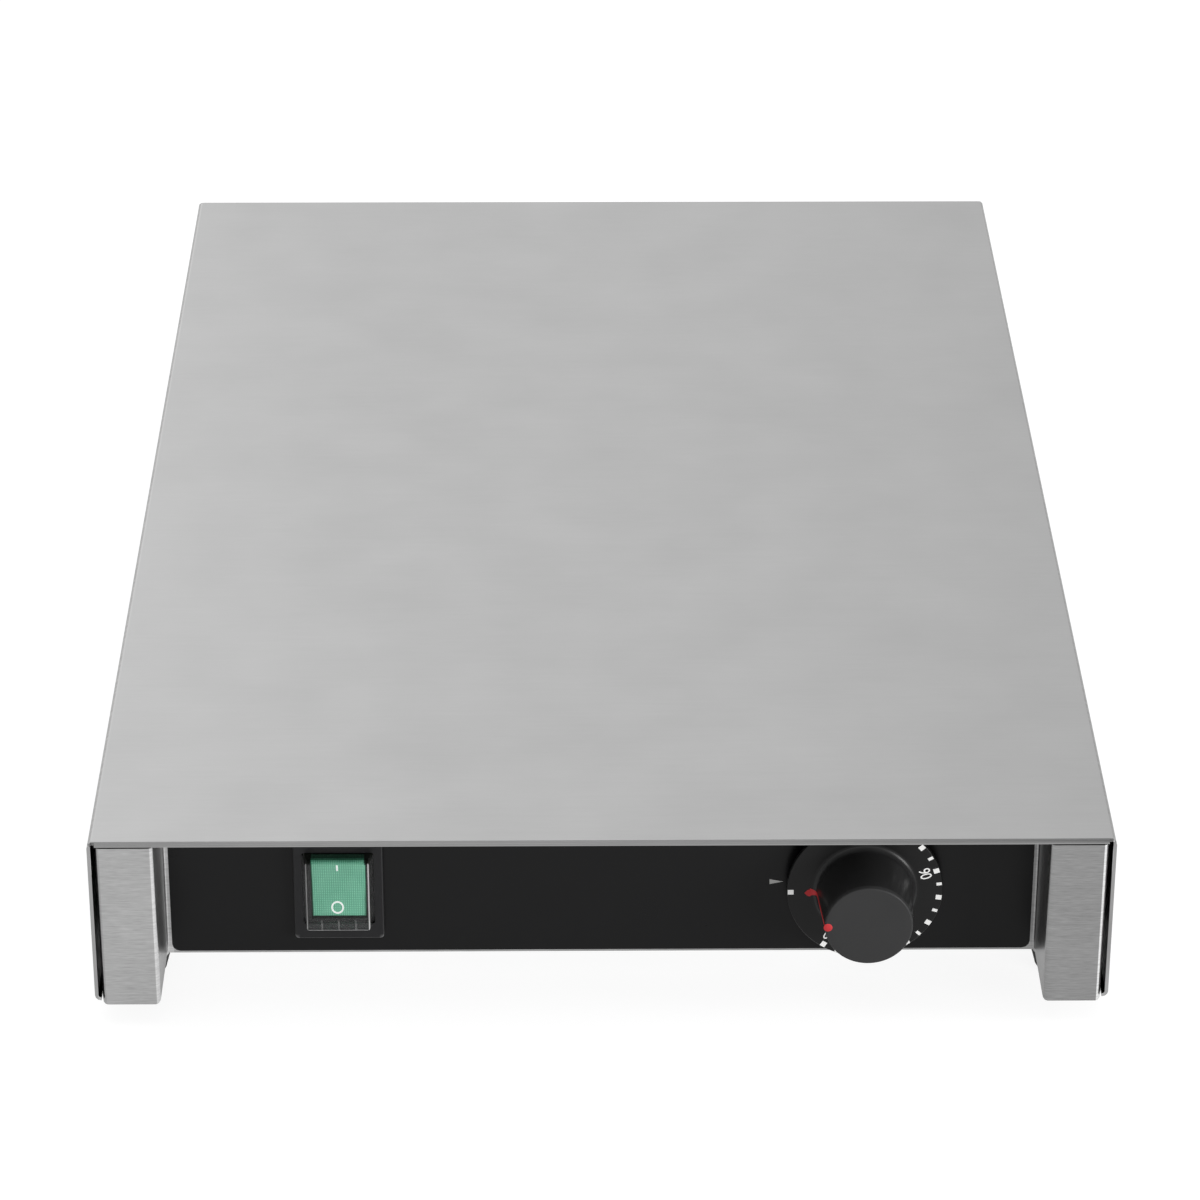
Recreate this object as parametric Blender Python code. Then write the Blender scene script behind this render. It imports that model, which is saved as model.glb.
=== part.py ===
"""Electric food warmer tray: a folded stainless cover over a heated plate, on a recessed control chassis.

Metres, +Z up, front facing -Y. The origin is on the table, under the centre of the tray.
"""

import math

import bmesh
import bpy
from mathutils import Matrix, Vector

for leftover in list(bpy.data.objects):
    bpy.data.objects.remove(leftover, do_unlink=True)

# Overall sizes
WIDTH = 0.345
DEPTH = 0.550
LEG_CLEAR = 0.0085
PLATE_RISE = 0.0635

# Fits
CLEARANCE = 0.0003
OVERRUN = 0.004
WELD_DEPTH = 0.0006
MERGE = 0.000001

# Top cover
COVER_SHEET = 0.0012
COVER_BEND = 0.0018
LIP_HEIGHT = 0.00145
SIDE_PANEL_RISE = 0.0017
SIDE_PANEL_BEND = 0.0020
CORNER_NOTCH_DROP = 0.0011
CORNER_RELIEF = 0.0010
PLATE_CORNER = 0.0020

# Folded end panels: legs, return walls and recessed fascia
CHASSIS_SHEET = 0.0010
CHASSIS_BEND = 0.0008
LEG_SIDE_GAP = 0.0013
LEG_WIDTH = 0.01975
LEG_TOP_GAP = 0.0004
LEG_CORNER = 0.0016
LEG_FLANGE = 0.018
RECESS = 0.0316
FASCIA_RISE = 0.0004
FASCIA_FLANGE = 0.0125
FASCIA_FLANGE_INSET = 0.0022
FASCIA_EDGE_BEND = 0.0010

# Base plate
BASE_SHEET = 0.0010
BASE_SIDE_GAP = 0.0006
BASE_FLANGE = 0.010
VENT_LENGTH = 0.040
VENT_WIDTH = 0.0030
VENT_PITCH = 0.0090
VENT_COUNT = 5
BASE_VENT_OFFSET = 0.110
REAR_VENT_X = 0.050
REAR_VENT_COUNT = 4

# Studs, standoffs, nuts and screws
STUD_RADIUS = 0.0020
STUD_LENGTH = 0.010
STUD_HOLE_RADIUS = STUD_RADIUS + CLEARANCE
FOOT_SIDE_SETBACK = 0.0105
FOOT_SETBACK = 0.0380
HEX_ACROSS_FLATS = 0.0070
NUT_HEIGHT = 0.0032
SCREW_GRIP = 0.0080
SCREW_HEAD_HEIGHT = 0.0024
SCREW_HEAD_RADIUS = 0.0037
SCREW_HEAD_ROUND = 0.0009
SCREW_RECESS_DEPTH = 0.0013
SCREW_RECESS_SPAN = 0.0038
SCREW_RECESS_WIDTH = 0.0009
BASE_SCREW_SETBACK = 0.07825
BASE_SCREW_END = 0.0043

# Rubber feet
FOOT_TOP_RADIUS = 0.0102
FOOT_BOTTOM_RADIUS = 0.0082
FOOT_EDGE = 0.0009
FOOT_BOSS_RADIUS = 0.0055
FOOT_SOCKET_RADIUS = 0.0046
FOOT_SOCKET_DEPTH = 0.0042

# Heated stack
CONTROL_ZONE = 0.0441
HEATER_MARGIN = 0.0110
HEATER_SHEET = 0.0015
HEATER_SIDE_GAP = 0.0052
HEATER_TAIL_WIDTH = 0.0400
HEATER_TAIL_DROP = 0.0075
INSULATION_HEIGHT = 0.0100
RETAINER_SHEET = 0.0008
RETAINER_BEND = 0.0010
RETAINER_FLANGE = 0.0203
RETAINER_SIDE_GAP = 0.0015
RETAINER_END_GAP = 0.0014

# Controls
CONTROL_RISE = 0.0290
CONTROL_SETBACK = 0.05995
LABEL_SHEET = 0.0004
LABEL_SIDE = 0.00175
LABEL_FOOT = 0.0016
LABEL_HEAD = 0.0025
LABEL_CORNER = 0.0028

# Thermostat and knob
THERMOSTAT_WIDTH = 0.036
THERMOSTAT_HEIGHT = 0.031
THERMOSTAT_DEPTH = 0.029
THERMOSTAT_EDGE = 0.0015
THERMOSTAT_SCREW_PITCH = 0.028
THERMOSTAT_SCREW_SHANK = 0.0060
SPINDLE_RADIUS = 0.0030
SPINDLE_SEAT = 0.0060
SPINDLE_FLAT_DEPTH = 0.0008
SPINDLE_FLAT_LENGTH = 0.0120
SPINDLE_HOLE_RADIUS = 0.0050
SPINDLE_END_GAP = 0.0010
SKIRT_STANDOFF = 0.0038
SKIRT_RADIUS = 0.0268
SKIRT_THICKNESS = 0.0022
SKIRT_EDGE = 0.0005
GRIP_HEIGHT = 0.0233
GRIP_BASE_RADIUS = 0.0164
GRIP_FACE_RADIUS = 0.0149
GRIP_EDGE = 0.0006
GRIP_FILLET = 0.0024
KNOB_WALL = 0.0022
KNOB_BOSS_RADIUS = 0.0056
KNOB_BORE_DEPTH = 0.0160

# Switch
SWITCH_BODY_WIDTH = 0.0216
SWITCH_BODY_HEIGHT = 0.0294
SWITCH_BODY_DEPTH = 0.0250
SWITCH_BEZEL_WIDTH = 0.0264
SWITCH_BEZEL_HEIGHT = 0.0342
SWITCH_BEZEL_SHEET = 0.0010
SWITCH_CAVITY_HEIGHT = 0.0264
SWITCH_CAVITY_DEPTH = 0.0135
ROCKER_WIDTH = 0.0184
ROCKER_HALF_HEIGHT = 0.0119
ROCKER_SIDE_GAP = 0.0003
ROCKER_PROUD = 0.0012
ROCKER_PIVOT_DEPTH = 0.0070
ROCKER_DISH = 0.0010
ROCKER_DISH_SHARES = (1.0, 0.5, 0.0, -0.5, -1.0)
ROCKER_FLANK = 0.0045
ROCKER_KEEL_RADIUS = 0.0040
ROCKER_KEEL_SPREAD = math.radians(60.0)
ROCKER_EDGE = 0.0005
ROCKER_TILT = math.radians(8.0)
FRAME_WIDTH = 0.0306
FRAME_HEIGHT = 0.0402
FRAME_DEPTH = 0.0030
FRAME_FACE = 0.0008
FRAME_CORNER = 0.0012
FRAME_EDGE = 0.0005
CAP_ROOT_WIDTH = 0.0240
CAP_ROOT_HEIGHT = 0.0278
CAP_FRONT_WIDTH = 0.0217
CAP_FRONT_HEIGHT = 0.0268
CAP_DEPTH = 0.0062
CAP_WALL = 0.0007
CAP_EDGE = 0.0008
CAP_FLANGE = 0.0006
CAP_FLANGE_SPREAD = 0.0010

# Flat terminals
TAB_WIDTH = 0.0048
TAB_SHEET = 0.0008
TAB_LENGTH = 0.0080
SWITCH_TAB_X = 0.0055
SWITCH_TAB_Z = 0.0070
THERMOSTAT_TAB_X = 0.0080
THERMOSTAT_TAB_DROP = 0.0080

# Sensor
BULB_RADIUS = 0.0030
BULB_LENGTH = 0.080
BULB_SIDE_SETBACK = 0.083
BULB_START = 0.047
CAPILLARY_RADIUS = 0.0008
CAPILLARY_RISE = 0.0100

# Thermal cut-out
CUTOUT_RADIUS = 0.0080
CUTOUT_HEIGHT = 0.0075
CUTOUT_SETBACK = 0.048
CUTOUT_PLATE_LENGTH = 0.030
CUTOUT_PLATE_WIDTH = 0.010
CUTOUT_PLATE_SHEET = 0.0010
CUTOUT_TAB_REACH = 0.0150
CUTOUT_TAB_DROP = 0.0055

# Cable gland
GLAND_SETBACK = 0.04525
GLAND_RISE = 0.0260
GLAND_THREAD_RADIUS = 0.0078
GLAND_THREAD_INSIDE = 0.0090
GLAND_HEX = 0.0220
GLAND_HEX_HEIGHT = 0.0050
GLAND_NOSE_LENGTH = 0.0085
GLAND_NOSE_RADIUS = 0.0080
GLAND_BORE_RADIUS = 0.0050
SEAL_SEAT_RADIUS = 0.0066
SEAL_DEPTH = 0.0055
SEAL_BORE_RADIUS = 0.0040
DOME_NUT_RADIUS = 0.0110
DOME_NUT_LENGTH = 0.0150
DOME_MOUTH_RADIUS = 0.0052
DOME_ROUND = 0.0035
LOCKNUT_HEIGHT = 0.0040

# Terminal block and earth point
BLOCK_SETBACK = 0.047
BLOCK_WIDTH = 0.034
BLOCK_DEPTH = 0.018
BLOCK_HEIGHT = 0.0155
BLOCK_EDGE = 0.0010
BLOCK_PITCH = 0.010
BLOCK_ENTRY_DEPTH = 0.0050
BLOCK_ENTRY_RISE = 0.0062
BLOCK_SCREW_X = 0.005
EARTH_SPACING = 0.045
EARTH_SETBACK = 0.060

# Leads
LEAD_RADIUS = 0.0013
LEAD_STUB = 0.0080
LEAD_STEP = 0.0100
BLOCK_ENTRY_RADIUS = LEAD_RADIUS + CLEARANCE

# Faces along a curve
ROUND_PROFILE = 0.5
ROUND_SIDES = 20
SMALL_SIDES = 12
KNOB_SIDES = 40
BEND_STEPS = 3
ROUTE_STEPS = 3
TUBE_RESOLUTION = 2
SMOOTH_ANGLE = math.radians(35.0)

# Places that follow from the sizes
TOP_Z = LEG_CLEAR + PLATE_RISE
UNDER_TOP_Z = TOP_Z - COVER_SHEET
FRONT_Y = -DEPTH / 2
FASCIA_Y = FRONT_Y + RECESS
FASCIA_BACK_Y = FASCIA_Y + CHASSIS_SHEET
REAR_INNER_Y = -FASCIA_BACK_Y
COVER_INNER_X = WIDTH / 2 - COVER_SHEET
LEG_OUTER_X = COVER_INNER_X - LEG_SIDE_GAP
LEG_INNER_X = LEG_OUTER_X - LEG_WIDTH
PANEL_HEM_X = LEG_OUTER_X + CLEARANCE
LEG_TOP_Z = TOP_Z - LIP_HEIGHT - LEG_TOP_GAP
FASCIA_BOTTOM_Z = LEG_CLEAR + FASCIA_RISE
BASE_Z = FASCIA_BOTTOM_Z + CHASSIS_SHEET + CLEARANCE
FLOOR_Z = BASE_Z + BASE_SHEET
BASE_HALF_DEPTH = REAR_INNER_Y - CLEARANCE
STUD_X = LEG_OUTER_X - FOOT_SIDE_SETBACK
STUD_Y = DEPTH / 2 - FOOT_SETBACK
BASE_SCREW_X = LEG_INNER_X - BASE_SCREW_SETBACK
RETAINER_FLANGE_X = LEG_OUTER_X - RETAINER_SIDE_GAP
RETAINER_HALF_WIDTH = RETAINER_FLANGE_X - RETAINER_FLANGE
HEATER_HALF_WIDTH = RETAINER_HALF_WIDTH - HEATER_SIDE_GAP
HEATER_START_Y = FASCIA_BACK_Y + CONTROL_ZONE
HEATER_END_Y = REAR_INNER_Y - HEATER_MARGIN
HEATER_TOP_Z = UNDER_TOP_Z - CLEARANCE
INSULATION_TOP_Z = HEATER_TOP_Z - HEATER_SHEET - CLEARANCE
RETAINER_FLOOR_Z = INSULATION_TOP_Z - INSULATION_HEIGHT - CLEARANCE
RETAINER_UNDER_Z = RETAINER_FLOOR_Z - RETAINER_SHEET
RETAINER_FLANGE_Z = UNDER_TOP_Z - CLEARANCE - RETAINER_SHEET
BULB_X = HEATER_HALF_WIDTH - BULB_SIDE_SETBACK
KNOB_X = LEG_INNER_X - CONTROL_SETBACK
SWITCH_X = -KNOB_X
CONTROL_Z = LEG_CLEAR + CONTROL_RISE
LABEL_HALF_WIDTH = LEG_INNER_X - LABEL_SIDE
LABEL_BACK_Y = FASCIA_Y - CLEARANCE
LABEL_FRONT_Y = LABEL_BACK_Y - LABEL_SHEET
BEZEL_BACK_Y = LABEL_FRONT_Y - CLEARANCE
BEZEL_FRONT_Y = BEZEL_BACK_Y - SWITCH_BEZEL_SHEET
ROCKER_FACE_Y = BEZEL_FRONT_Y - ROCKER_PROUD
ROCKER_PIVOT_Y = ROCKER_FACE_Y + ROCKER_PIVOT_DEPTH
SKIRT_BACK_Y = LABEL_FRONT_Y - SKIRT_STANDOFF
SWITCH_REAR_Y = FASCIA_Y + SWITCH_BODY_DEPTH
THERMOSTAT_FRONT_Y = FASCIA_BACK_Y + CLEARANCE
THERMOSTAT_REAR_Y = THERMOSTAT_FRONT_Y + THERMOSTAT_DEPTH
GLAND_X = -(LEG_INNER_X - GLAND_SETBACK)
GLAND_Z = LEG_CLEAR + GLAND_RISE
EARTH_X = GLAND_X + EARTH_SPACING
BLOCK_Y = REAR_INNER_Y - BLOCK_SETBACK


def material(name, colour, roughness, metallic):
    look = bpy.data.materials.new(name)
    look.use_nodes = True
    shader = look.node_tree.nodes["Principled BSDF"]
    shader.inputs["Base Color"].default_value = (*colour, 1.0)
    shader.inputs["Roughness"].default_value = roughness
    shader.inputs["Metallic"].default_value = metallic
    look.diffuse_color = (*colour, 1.0)
    return look


def add_object(name, bm, look):
    """A mesh object with its normals outward and its curved faces smooth."""
    bmesh.ops.recalc_face_normals(bm, faces=bm.faces)
    mesh = bpy.data.meshes.new(name)
    bm.to_mesh(mesh)
    bm.free()
    if look:
        mesh.materials.append(look)
    mesh.shade_smooth()
    mesh.set_sharp_from_angle(angle=SMOOTH_ANGLE)
    obj = bpy.data.objects.new(name, mesh)
    bpy.context.scene.collection.objects.link(obj)
    return obj


def box(low, high):
    low, high = Vector(low), Vector(high)
    bm = bmesh.new()
    bmesh.ops.create_cube(bm, size=1.0)
    bmesh.ops.scale(bm, vec=high - low, verts=bm.verts)
    bmesh.ops.translate(bm, vec=(low + high) / 2, verts=bm.verts)
    return bm


def edges_along(bm, axis, keep=lambda middle: True):
    """The straight edges that run along one axis (0, 1 or 2) and whose middle passes the test."""
    found = []
    for edge in bm.edges:
        run = edge.verts[1].co - edge.verts[0].co
        middle = (edge.verts[1].co + edge.verts[0].co) / 2
        if abs(run[axis]) > run.length * math.cos(SMOOTH_ANGLE) and keep(middle):
            found.append(edge)
    return found


def round_edges(bm, edges, radius, steps=BEND_STEPS):
    bmesh.ops.bevel(
        bm,
        geom=edges,
        offset=radius,
        offset_type="OFFSET",
        segments=steps,
        profile=ROUND_PROFILE,
        affect="EDGES",
    )
    return bm


def prism(outline, axis, start, end):
    """A closed outline pushed along an axis: XY for Z, XZ for Y and YZ for X."""
    bm = bmesh.new()
    verts = []
    for a, b in outline:
        place = {"X": (start, a, b), "Y": (a, start, b), "Z": (a, b, start)}[axis]
        verts.append(bm.verts.new(place))
    face = bm.faces.new(verts)
    pushed = bmesh.ops.extrude_face_region(bm, geom=[face])["geom"]
    step = Vector([end - start if name == axis else 0.0 for name in "XYZ"])
    moving = [item for item in pushed if isinstance(item, bmesh.types.BMVert)]
    bmesh.ops.translate(bm, vec=step, verts=moving)
    return bm


def folded_outline(path, sheet, inner_bend):
    """The outline of a sheet folded along a path through its middle, each bend an arc."""
    radius = inner_bend + sheet / 2
    points = [Vector(point) for point in path]
    middles = []
    first = (points[1] - points[0]).normalized()
    middles.append((points[0], Vector((-first.y, first.x))))
    for before, corner, after in zip(points, points[1:], points[2:]):
        into = (corner - before).normalized()
        out = (after - corner).normalized()
        turn = into.x * out.y - into.y * out.x
        angle = math.atan2(turn, into.dot(out))
        side = math.copysign(1.0, angle)
        normal = Vector((-into.y, into.x))
        centre = corner - into * radius * math.tan(abs(angle) / 2) + normal * side * radius
        for step in range(BEND_STEPS + 1):
            turned = Matrix.Rotation(angle * step / BEND_STEPS, 2) @ normal
            middles.append((centre - turned * side * radius, turned))
    last = (points[-1] - points[-2]).normalized()
    middles.append((points[-1], Vector((-last.y, last.x))))
    left = [middle + normal * sheet / 2 for middle, normal in middles]
    right = [middle - normal * sheet / 2 for middle, normal in middles]
    return left + right[::-1]


def mirrored(path):
    """A path drawn from -X to the middle, carried on to +X."""
    return path + [(-x, y) for x, y in reversed(path)]


def rounded_rectangle(width, height, corner, steps=BEND_STEPS):
    """The outline of a rectangle round the origin with round corners."""
    points = []
    for quarter, (side, rise) in enumerate(((1, 1), (-1, 1), (-1, -1), (1, -1))):
        centre = (side * (width / 2 - corner), rise * (height / 2 - corner))
        for step in range(steps + 1):
            angle = math.pi / 2 * (quarter + step / steps)
            points.append((centre[0] + corner * math.cos(angle), centre[1] + corner * math.sin(angle)))
    return points


def moved(outline, x, z):
    return [(a + x, b + z) for a, b in outline]


def circle(radius, sides):
    return [
        (radius * math.cos(math.tau * step / sides), radius * math.sin(math.tau * step / sides))
        for step in range(sides)
    ]


def hexagon(across_flats):
    return circle(across_flats / 2 / math.cos(math.pi / 6), 6)


def cylinder(radius, sides, axis, start, end, centre=(0.0, 0.0)):
    return prism(moved(circle(radius, sides), *centre), axis, start, end)


def turned(profile, sides):
    """A closed (radius, height) profile turned about Z."""
    bm = bmesh.new()
    verts = [bm.verts.new((radius, 0.0, height)) for radius, height in profile]
    edges = [bm.edges.new(pair) for pair in zip(verts, verts[1:])]
    if min(profile[0][0], profile[-1][0]) > 0.0:
        edges.append(bm.edges.new((verts[-1], verts[0])))
    bmesh.ops.spin(
        bm, geom=verts + edges, axis=(0, 0, 1), cent=(0, 0, 0), angle=math.tau, steps=sides, use_merge=True
    )
    bmesh.ops.remove_doubles(bm, verts=bm.verts, dist=MERGE)
    return bm


def turn_to(bm, direction, place):
    """Turns a shape made along +Z to another direction and moves it to its place."""
    turn = Vector((0, 0, 1)).rotation_difference(Vector(direction)).to_matrix().to_4x4()
    bmesh.ops.transform(bm, matrix=Matrix.Translation(place) @ turn, verts=bm.verts)
    return bm


def arc_points(centre, radius, start, end, steps=BEND_STEPS):
    """Points of an arc, its angles in quarter turns."""
    points = []
    for step in range(steps + 1):
        angle = math.pi / 2 * (start + (end - start) * step / steps)
        points.append((centre[0] + radius * math.cos(angle), centre[1] + radius * math.sin(angle)))
    return points


def boolean(obj, bm, operation, name):
    """Adds a shape to an object or cuts it away, through a hidden helper object."""
    helper = add_object(f"{obj.name}_{name}", bm, None)
    helper.hide_render = True
    helper.display_type = "WIRE"
    modifier = obj.modifiers.new(name, "BOOLEAN")
    modifier.operation = operation
    modifier.solver = "EXACT"
    modifier.object = helper


def cut(obj, bm, name):
    boolean(obj, bm, "DIFFERENCE", name)


def join(obj, bm, name):
    boolean(obj, bm, "UNION", name)


def drill(obj, name, radius, axis, start, end, place, sides=SMALL_SIDES):
    """Cuts a round hole that runs past both faces of what it goes through."""
    cut(obj, cylinder(radius, sides, axis, start - OVERRUN, end + OVERRUN, place), name)


def settle(obj):
    """Applies an object's modifiers, so that its mesh can be shared, and removes its helpers."""
    bpy.context.view_layer.update()
    solid = bpy.data.meshes.new_from_object(obj.evaluated_get(bpy.context.evaluated_depsgraph_get()))
    helpers = [modifier.object for modifier in obj.modifiers]
    obj.modifiers.clear()
    obj.data = solid
    for helper in helpers:
        bpy.data.objects.remove(helper, do_unlink=True)
    return obj


def copy_to(original, name, place, turn=None):
    """Another object with the same mesh."""
    copy = bpy.data.objects.new(name, original.data)
    copy.location = place
    if turn:
        copy.rotation_euler = turn
    bpy.context.scene.collection.objects.link(copy)
    return copy


def smooth_route(points):
    """Points along a smooth curve that runs through the given ones."""
    ends = [points[0] * 2 - points[1], *points, points[-1] * 2 - points[-2]]
    route = []
    for before, here, there, after in zip(ends, ends[1:], ends[2:], ends[3:]):
        for step in range(ROUTE_STEPS):
            share = step / ROUTE_STEPS
            pull = (there - before) * share
            bow = (before * 2 - here * 5 + there * 4 - after) * share**2
            twist = (here * 3 - before - there * 3 + after) * share**3
            route.append(here + (pull + bow + twist) / 2)
    return [*route, points[-1]]


def tube(name, points, radius, look):
    """A round tube along a smooth route, which never dips below what it lies on."""
    route = smooth_route([Vector(point) for point in points])
    for place in route:
        place.z = max(place.z, FLOOR_Z + CLEARANCE + radius)
    curve = bpy.data.curves.new(name, "CURVE")
    curve.dimensions = "3D"
    curve.bevel_depth = radius
    curve.bevel_resolution = TUBE_RESOLUTION
    curve.use_fill_caps = True
    curve.materials.append(look)
    spline = curve.splines.new("POLY")
    spline.points.add(len(route) - 1)
    for point, place in zip(spline.points, route):
        point.co = (*place, 1.0)
    obj = bpy.data.objects.new(name, curve)
    bpy.context.scene.collection.objects.link(obj)
    return obj


STEEL = material("brushed_steel", (0.56, 0.56, 0.56), 0.35, 1.0)
ZINC = material("zinc_plated_steel", (0.62, 0.62, 0.64), 0.40, 1.0)
BRASS = material("brass", (0.72, 0.55, 0.25), 0.35, 1.0)
LABEL_BLACK = material("label_black", (0.016, 0.016, 0.016), 0.45, 0.0)
KNOB_BLACK = material("knob_black", (0.030, 0.030, 0.031), 0.50, 0.0)
SWITCH_BLACK = material("switch_black", (0.014, 0.014, 0.014), 0.40, 0.0)
ROCKER_GREEN = material("rocker_green", (0.10, 0.42, 0.26), 0.35, 0.0)
CLEAR = material("clear_plastic", (0.80, 0.84, 0.82), 0.10, 0.0)
RUBBER = material("black_rubber", (0.020, 0.020, 0.020), 0.80, 0.0)
SILICONE = material("heater_silicone", (0.42, 0.10, 0.06), 0.70, 0.0)
WOOL = material("insulation_wool", (0.78, 0.76, 0.70), 0.95, 0.0)
PHENOLIC = material("brown_phenolic", (0.12, 0.06, 0.03), 0.50, 0.0)
CREAM = material("cream_polyamide", (0.75, 0.72, 0.62), 0.50, 0.0)
COPPER = material("copper", (0.80, 0.42, 0.26), 0.35, 1.0)
LEAD_BROWN = material("lead_brown", (0.16, 0.06, 0.03), 0.55, 0.0)
LEAD_BLUE = material("lead_blue", (0.02, 0.10, 0.45), 0.55, 0.0)
LEAD_GREEN = material("lead_green_yellow", (0.20, 0.45, 0.06), 0.55, 0.0)


def stud_places():
    """Where the welded studs stand: four at the corners, two half way."""
    corners = [(side * STUD_X, end * STUD_Y) for end in (-1, 1) for side in (-1, 1)]
    return corners, [(side * STUD_X, 0.0) for side in (-1, 1)]


def top_edges(bm):
    """The level edges round the top of a box under the plate."""
    return [edge for axis in (0, 1) for edge in edges_along(bm, axis, lambda middle: middle.z > CONTROL_Z)]


def foot_edges(bm):
    """The edges along the foot of both sides of a box under the plate."""
    return edges_along(bm, 1, lambda middle: middle.z < CONTROL_Z)


def corner_relief(side, end):
    """What is cut off the plate, in plan, where a lip meets a side panel. Its corner is left round."""
    end_y = DEPTH / 2 - CORNER_RELIEF
    centre = (WIDTH / 2 - PLATE_CORNER, end_y - PLATE_CORNER)
    outline = [
        (WIDTH / 2 + OVERRUN, centre[1]),
        *arc_points(centre, PLATE_CORNER, 0, 1),
        (LEG_OUTER_X, end_y),
        (LEG_OUTER_X, DEPTH / 2 + OVERRUN),
        (WIDTH / 2 + OVERRUN, DEPTH / 2 + OVERRUN),
    ]
    return [(side * x, end * y) for x, y in outline]


def top_cover():
    """Cover sheet: plate, two lips and side panels that turn in at the foot, hollowed out of a box."""
    panel_z = LEG_CLEAR + SIDE_PANEL_RISE
    middle_z = (panel_z + CONTROL_Z) / 2
    shell = box((-WIDTH / 2, -DEPTH / 2, panel_z), (WIDTH / 2, DEPTH / 2, TOP_Z))
    round_edges(shell, top_edges(shell), COVER_BEND)
    round_edges(shell, foot_edges(shell), SIDE_PANEL_BEND)
    cover = add_object("top_cover", shell, STEEL)

    inner_y = DEPTH / 2 - COVER_SHEET
    hollow = box((-COVER_INNER_X, -inner_y, middle_z), (COVER_INNER_X, inner_y, UNDER_TOP_Z))
    round_edges(hollow, top_edges(hollow), COVER_BEND - COVER_SHEET)
    cut(cover, hollow, "hollow")

    open_y = DEPTH / 2 + OVERRUN
    lip_z = TOP_Z - LIP_HEIGHT
    ends = box((-COVER_INNER_X, -open_y, panel_z + COVER_SHEET), (COVER_INNER_X, open_y, lip_z))
    round_edges(ends, foot_edges(ends), SIDE_PANEL_BEND - COVER_SHEET)
    cut(cover, ends, "open_ends")
    foot = box((-PANEL_HEM_X, -open_y, panel_z - OVERRUN), (PANEL_HEM_X, open_y, middle_z))
    cut(cover, foot, "open_foot")
    notch_top_z = TOP_Z - CORNER_NOTCH_DROP
    for number, (side, end) in enumerate(((-1, -1), (1, -1), (-1, 1), (1, 1))):
        low_x, high_x = sorted((side * LEG_OUTER_X, side * COVER_INNER_X))
        low_y, high_y = sorted((end * (inner_y - CLEARANCE), end * open_y))
        cut(cover, box((low_x, low_y, middle_z), (high_x, high_y, notch_top_z)), f"corner_notch_{number}")
        relief = prism(corner_relief(side, end), "Z", UNDER_TOP_Z, TOP_Z + OVERRUN)
        cut(cover, relief, f"corner_relief_{number}")

    corners, middles = stud_places()
    for number, place in enumerate(corners + middles):
        stud = cylinder(
            STUD_RADIUS, SMALL_SIDES, "Z", UNDER_TOP_Z - STUD_LENGTH, UNDER_TOP_Z + WELD_DEPTH, place
        )
        join(cover, stud, f"stud_{number}")


def corner_outline(x, side, radius):
    """What a round corner takes off a square one, in XZ, at the foot of a leg."""
    low = LEG_CLEAR
    quarters = (0, -1) if side > 0 else (2, 3)
    return [
        (x + side * OVERRUN, low + radius),
        *arc_points((x - side * radius, low + radius), radius, *quarters),
        (x - side * radius, low - OVERRUN),
        (x + side * OVERRUN, low - OVERRUN),
    ]


def end_panel(name):
    """One folded sheet: two hollow legs, their return walls and the recessed fascia, with a foot flange.

    It is made facing the front, and its mesh is turned afterwards for the rear.
    """
    mid = CHASSIS_SHEET / 2
    path = mirrored(
        [
            (-LEG_OUTER_X + mid, FRONT_Y + LEG_FLANGE),
            (-LEG_OUTER_X + mid, FRONT_Y + mid),
            (-LEG_INNER_X - mid, FRONT_Y + mid),
            (-LEG_INNER_X - mid, FASCIA_Y + mid),
        ]
    )
    sheet = prism(folded_outline(path, CHASSIS_SHEET, CHASSIS_BEND), "Z", LEG_CLEAR, LEG_TOP_Z)
    panel = add_object(name, sheet, STEEL)

    under = box(
        (-LEG_INNER_X, FASCIA_Y - CLEARANCE, LEG_CLEAR - OVERRUN),
        (LEG_INNER_X, FASCIA_BACK_Y + OVERRUN, FASCIA_BOTTOM_Z),
    )
    cut(panel, under, "fascia_foot")
    flange_x = LEG_INNER_X - FASCIA_FLANGE_INSET
    flange = box(
        (-flange_x, FASCIA_Y + mid, FASCIA_BOTTOM_Z),
        (flange_x, FASCIA_BACK_Y + FASCIA_FLANGE, FASCIA_BOTTOM_Z + CHASSIS_SHEET),
    )
    join(panel, flange, "foot_flange")
    bend_y, bend_z = FASCIA_Y + FASCIA_EDGE_BEND, FASCIA_BOTTOM_Z + FASCIA_EDGE_BEND
    bend = [
        (bend_y - OVERRUN, bend_z),
        *arc_points((bend_y, bend_z), FASCIA_EDGE_BEND, 2, 3),
        (bend_y, bend_z - OVERRUN),
        (bend_y - OVERRUN, bend_z - OVERRUN),
    ]
    cut(panel, prism(bend, "X", -LEG_INNER_X + CLEARANCE, LEG_INNER_X - CLEARANCE), "foot_bend")

    outer = [(side * LEG_OUTER_X, side) for side in (-1, 1)]
    inner = [(side * LEG_INNER_X, -side) for side in (-1, 1)]
    for number, (x, side) in enumerate(outer + inner):
        outline = corner_outline(x, side, LEG_CORNER)
        cut(panel, prism(outline, "Y", FRONT_Y - OVERRUN, FASCIA_Y - CLEARANCE), f"leg_corner_{number}")
    for number, side in enumerate((-1, 1)):
        place = (side * BASE_SCREW_X, base_screw_y())
        drill(panel, f"base_screw_hole_{number}", STUD_HOLE_RADIUS, "Z", FASCIA_BOTTOM_Z, FLOOR_Z, place)
    return panel


def base_screw_y():
    return FASCIA_BACK_Y + FASCIA_FLANGE - BASE_SCREW_END


def front_panel():
    panel = end_panel("front_panel")
    control_holes(panel, FASCIA_Y, FASCIA_BACK_Y, STUD_HOLE_RADIUS)


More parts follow.
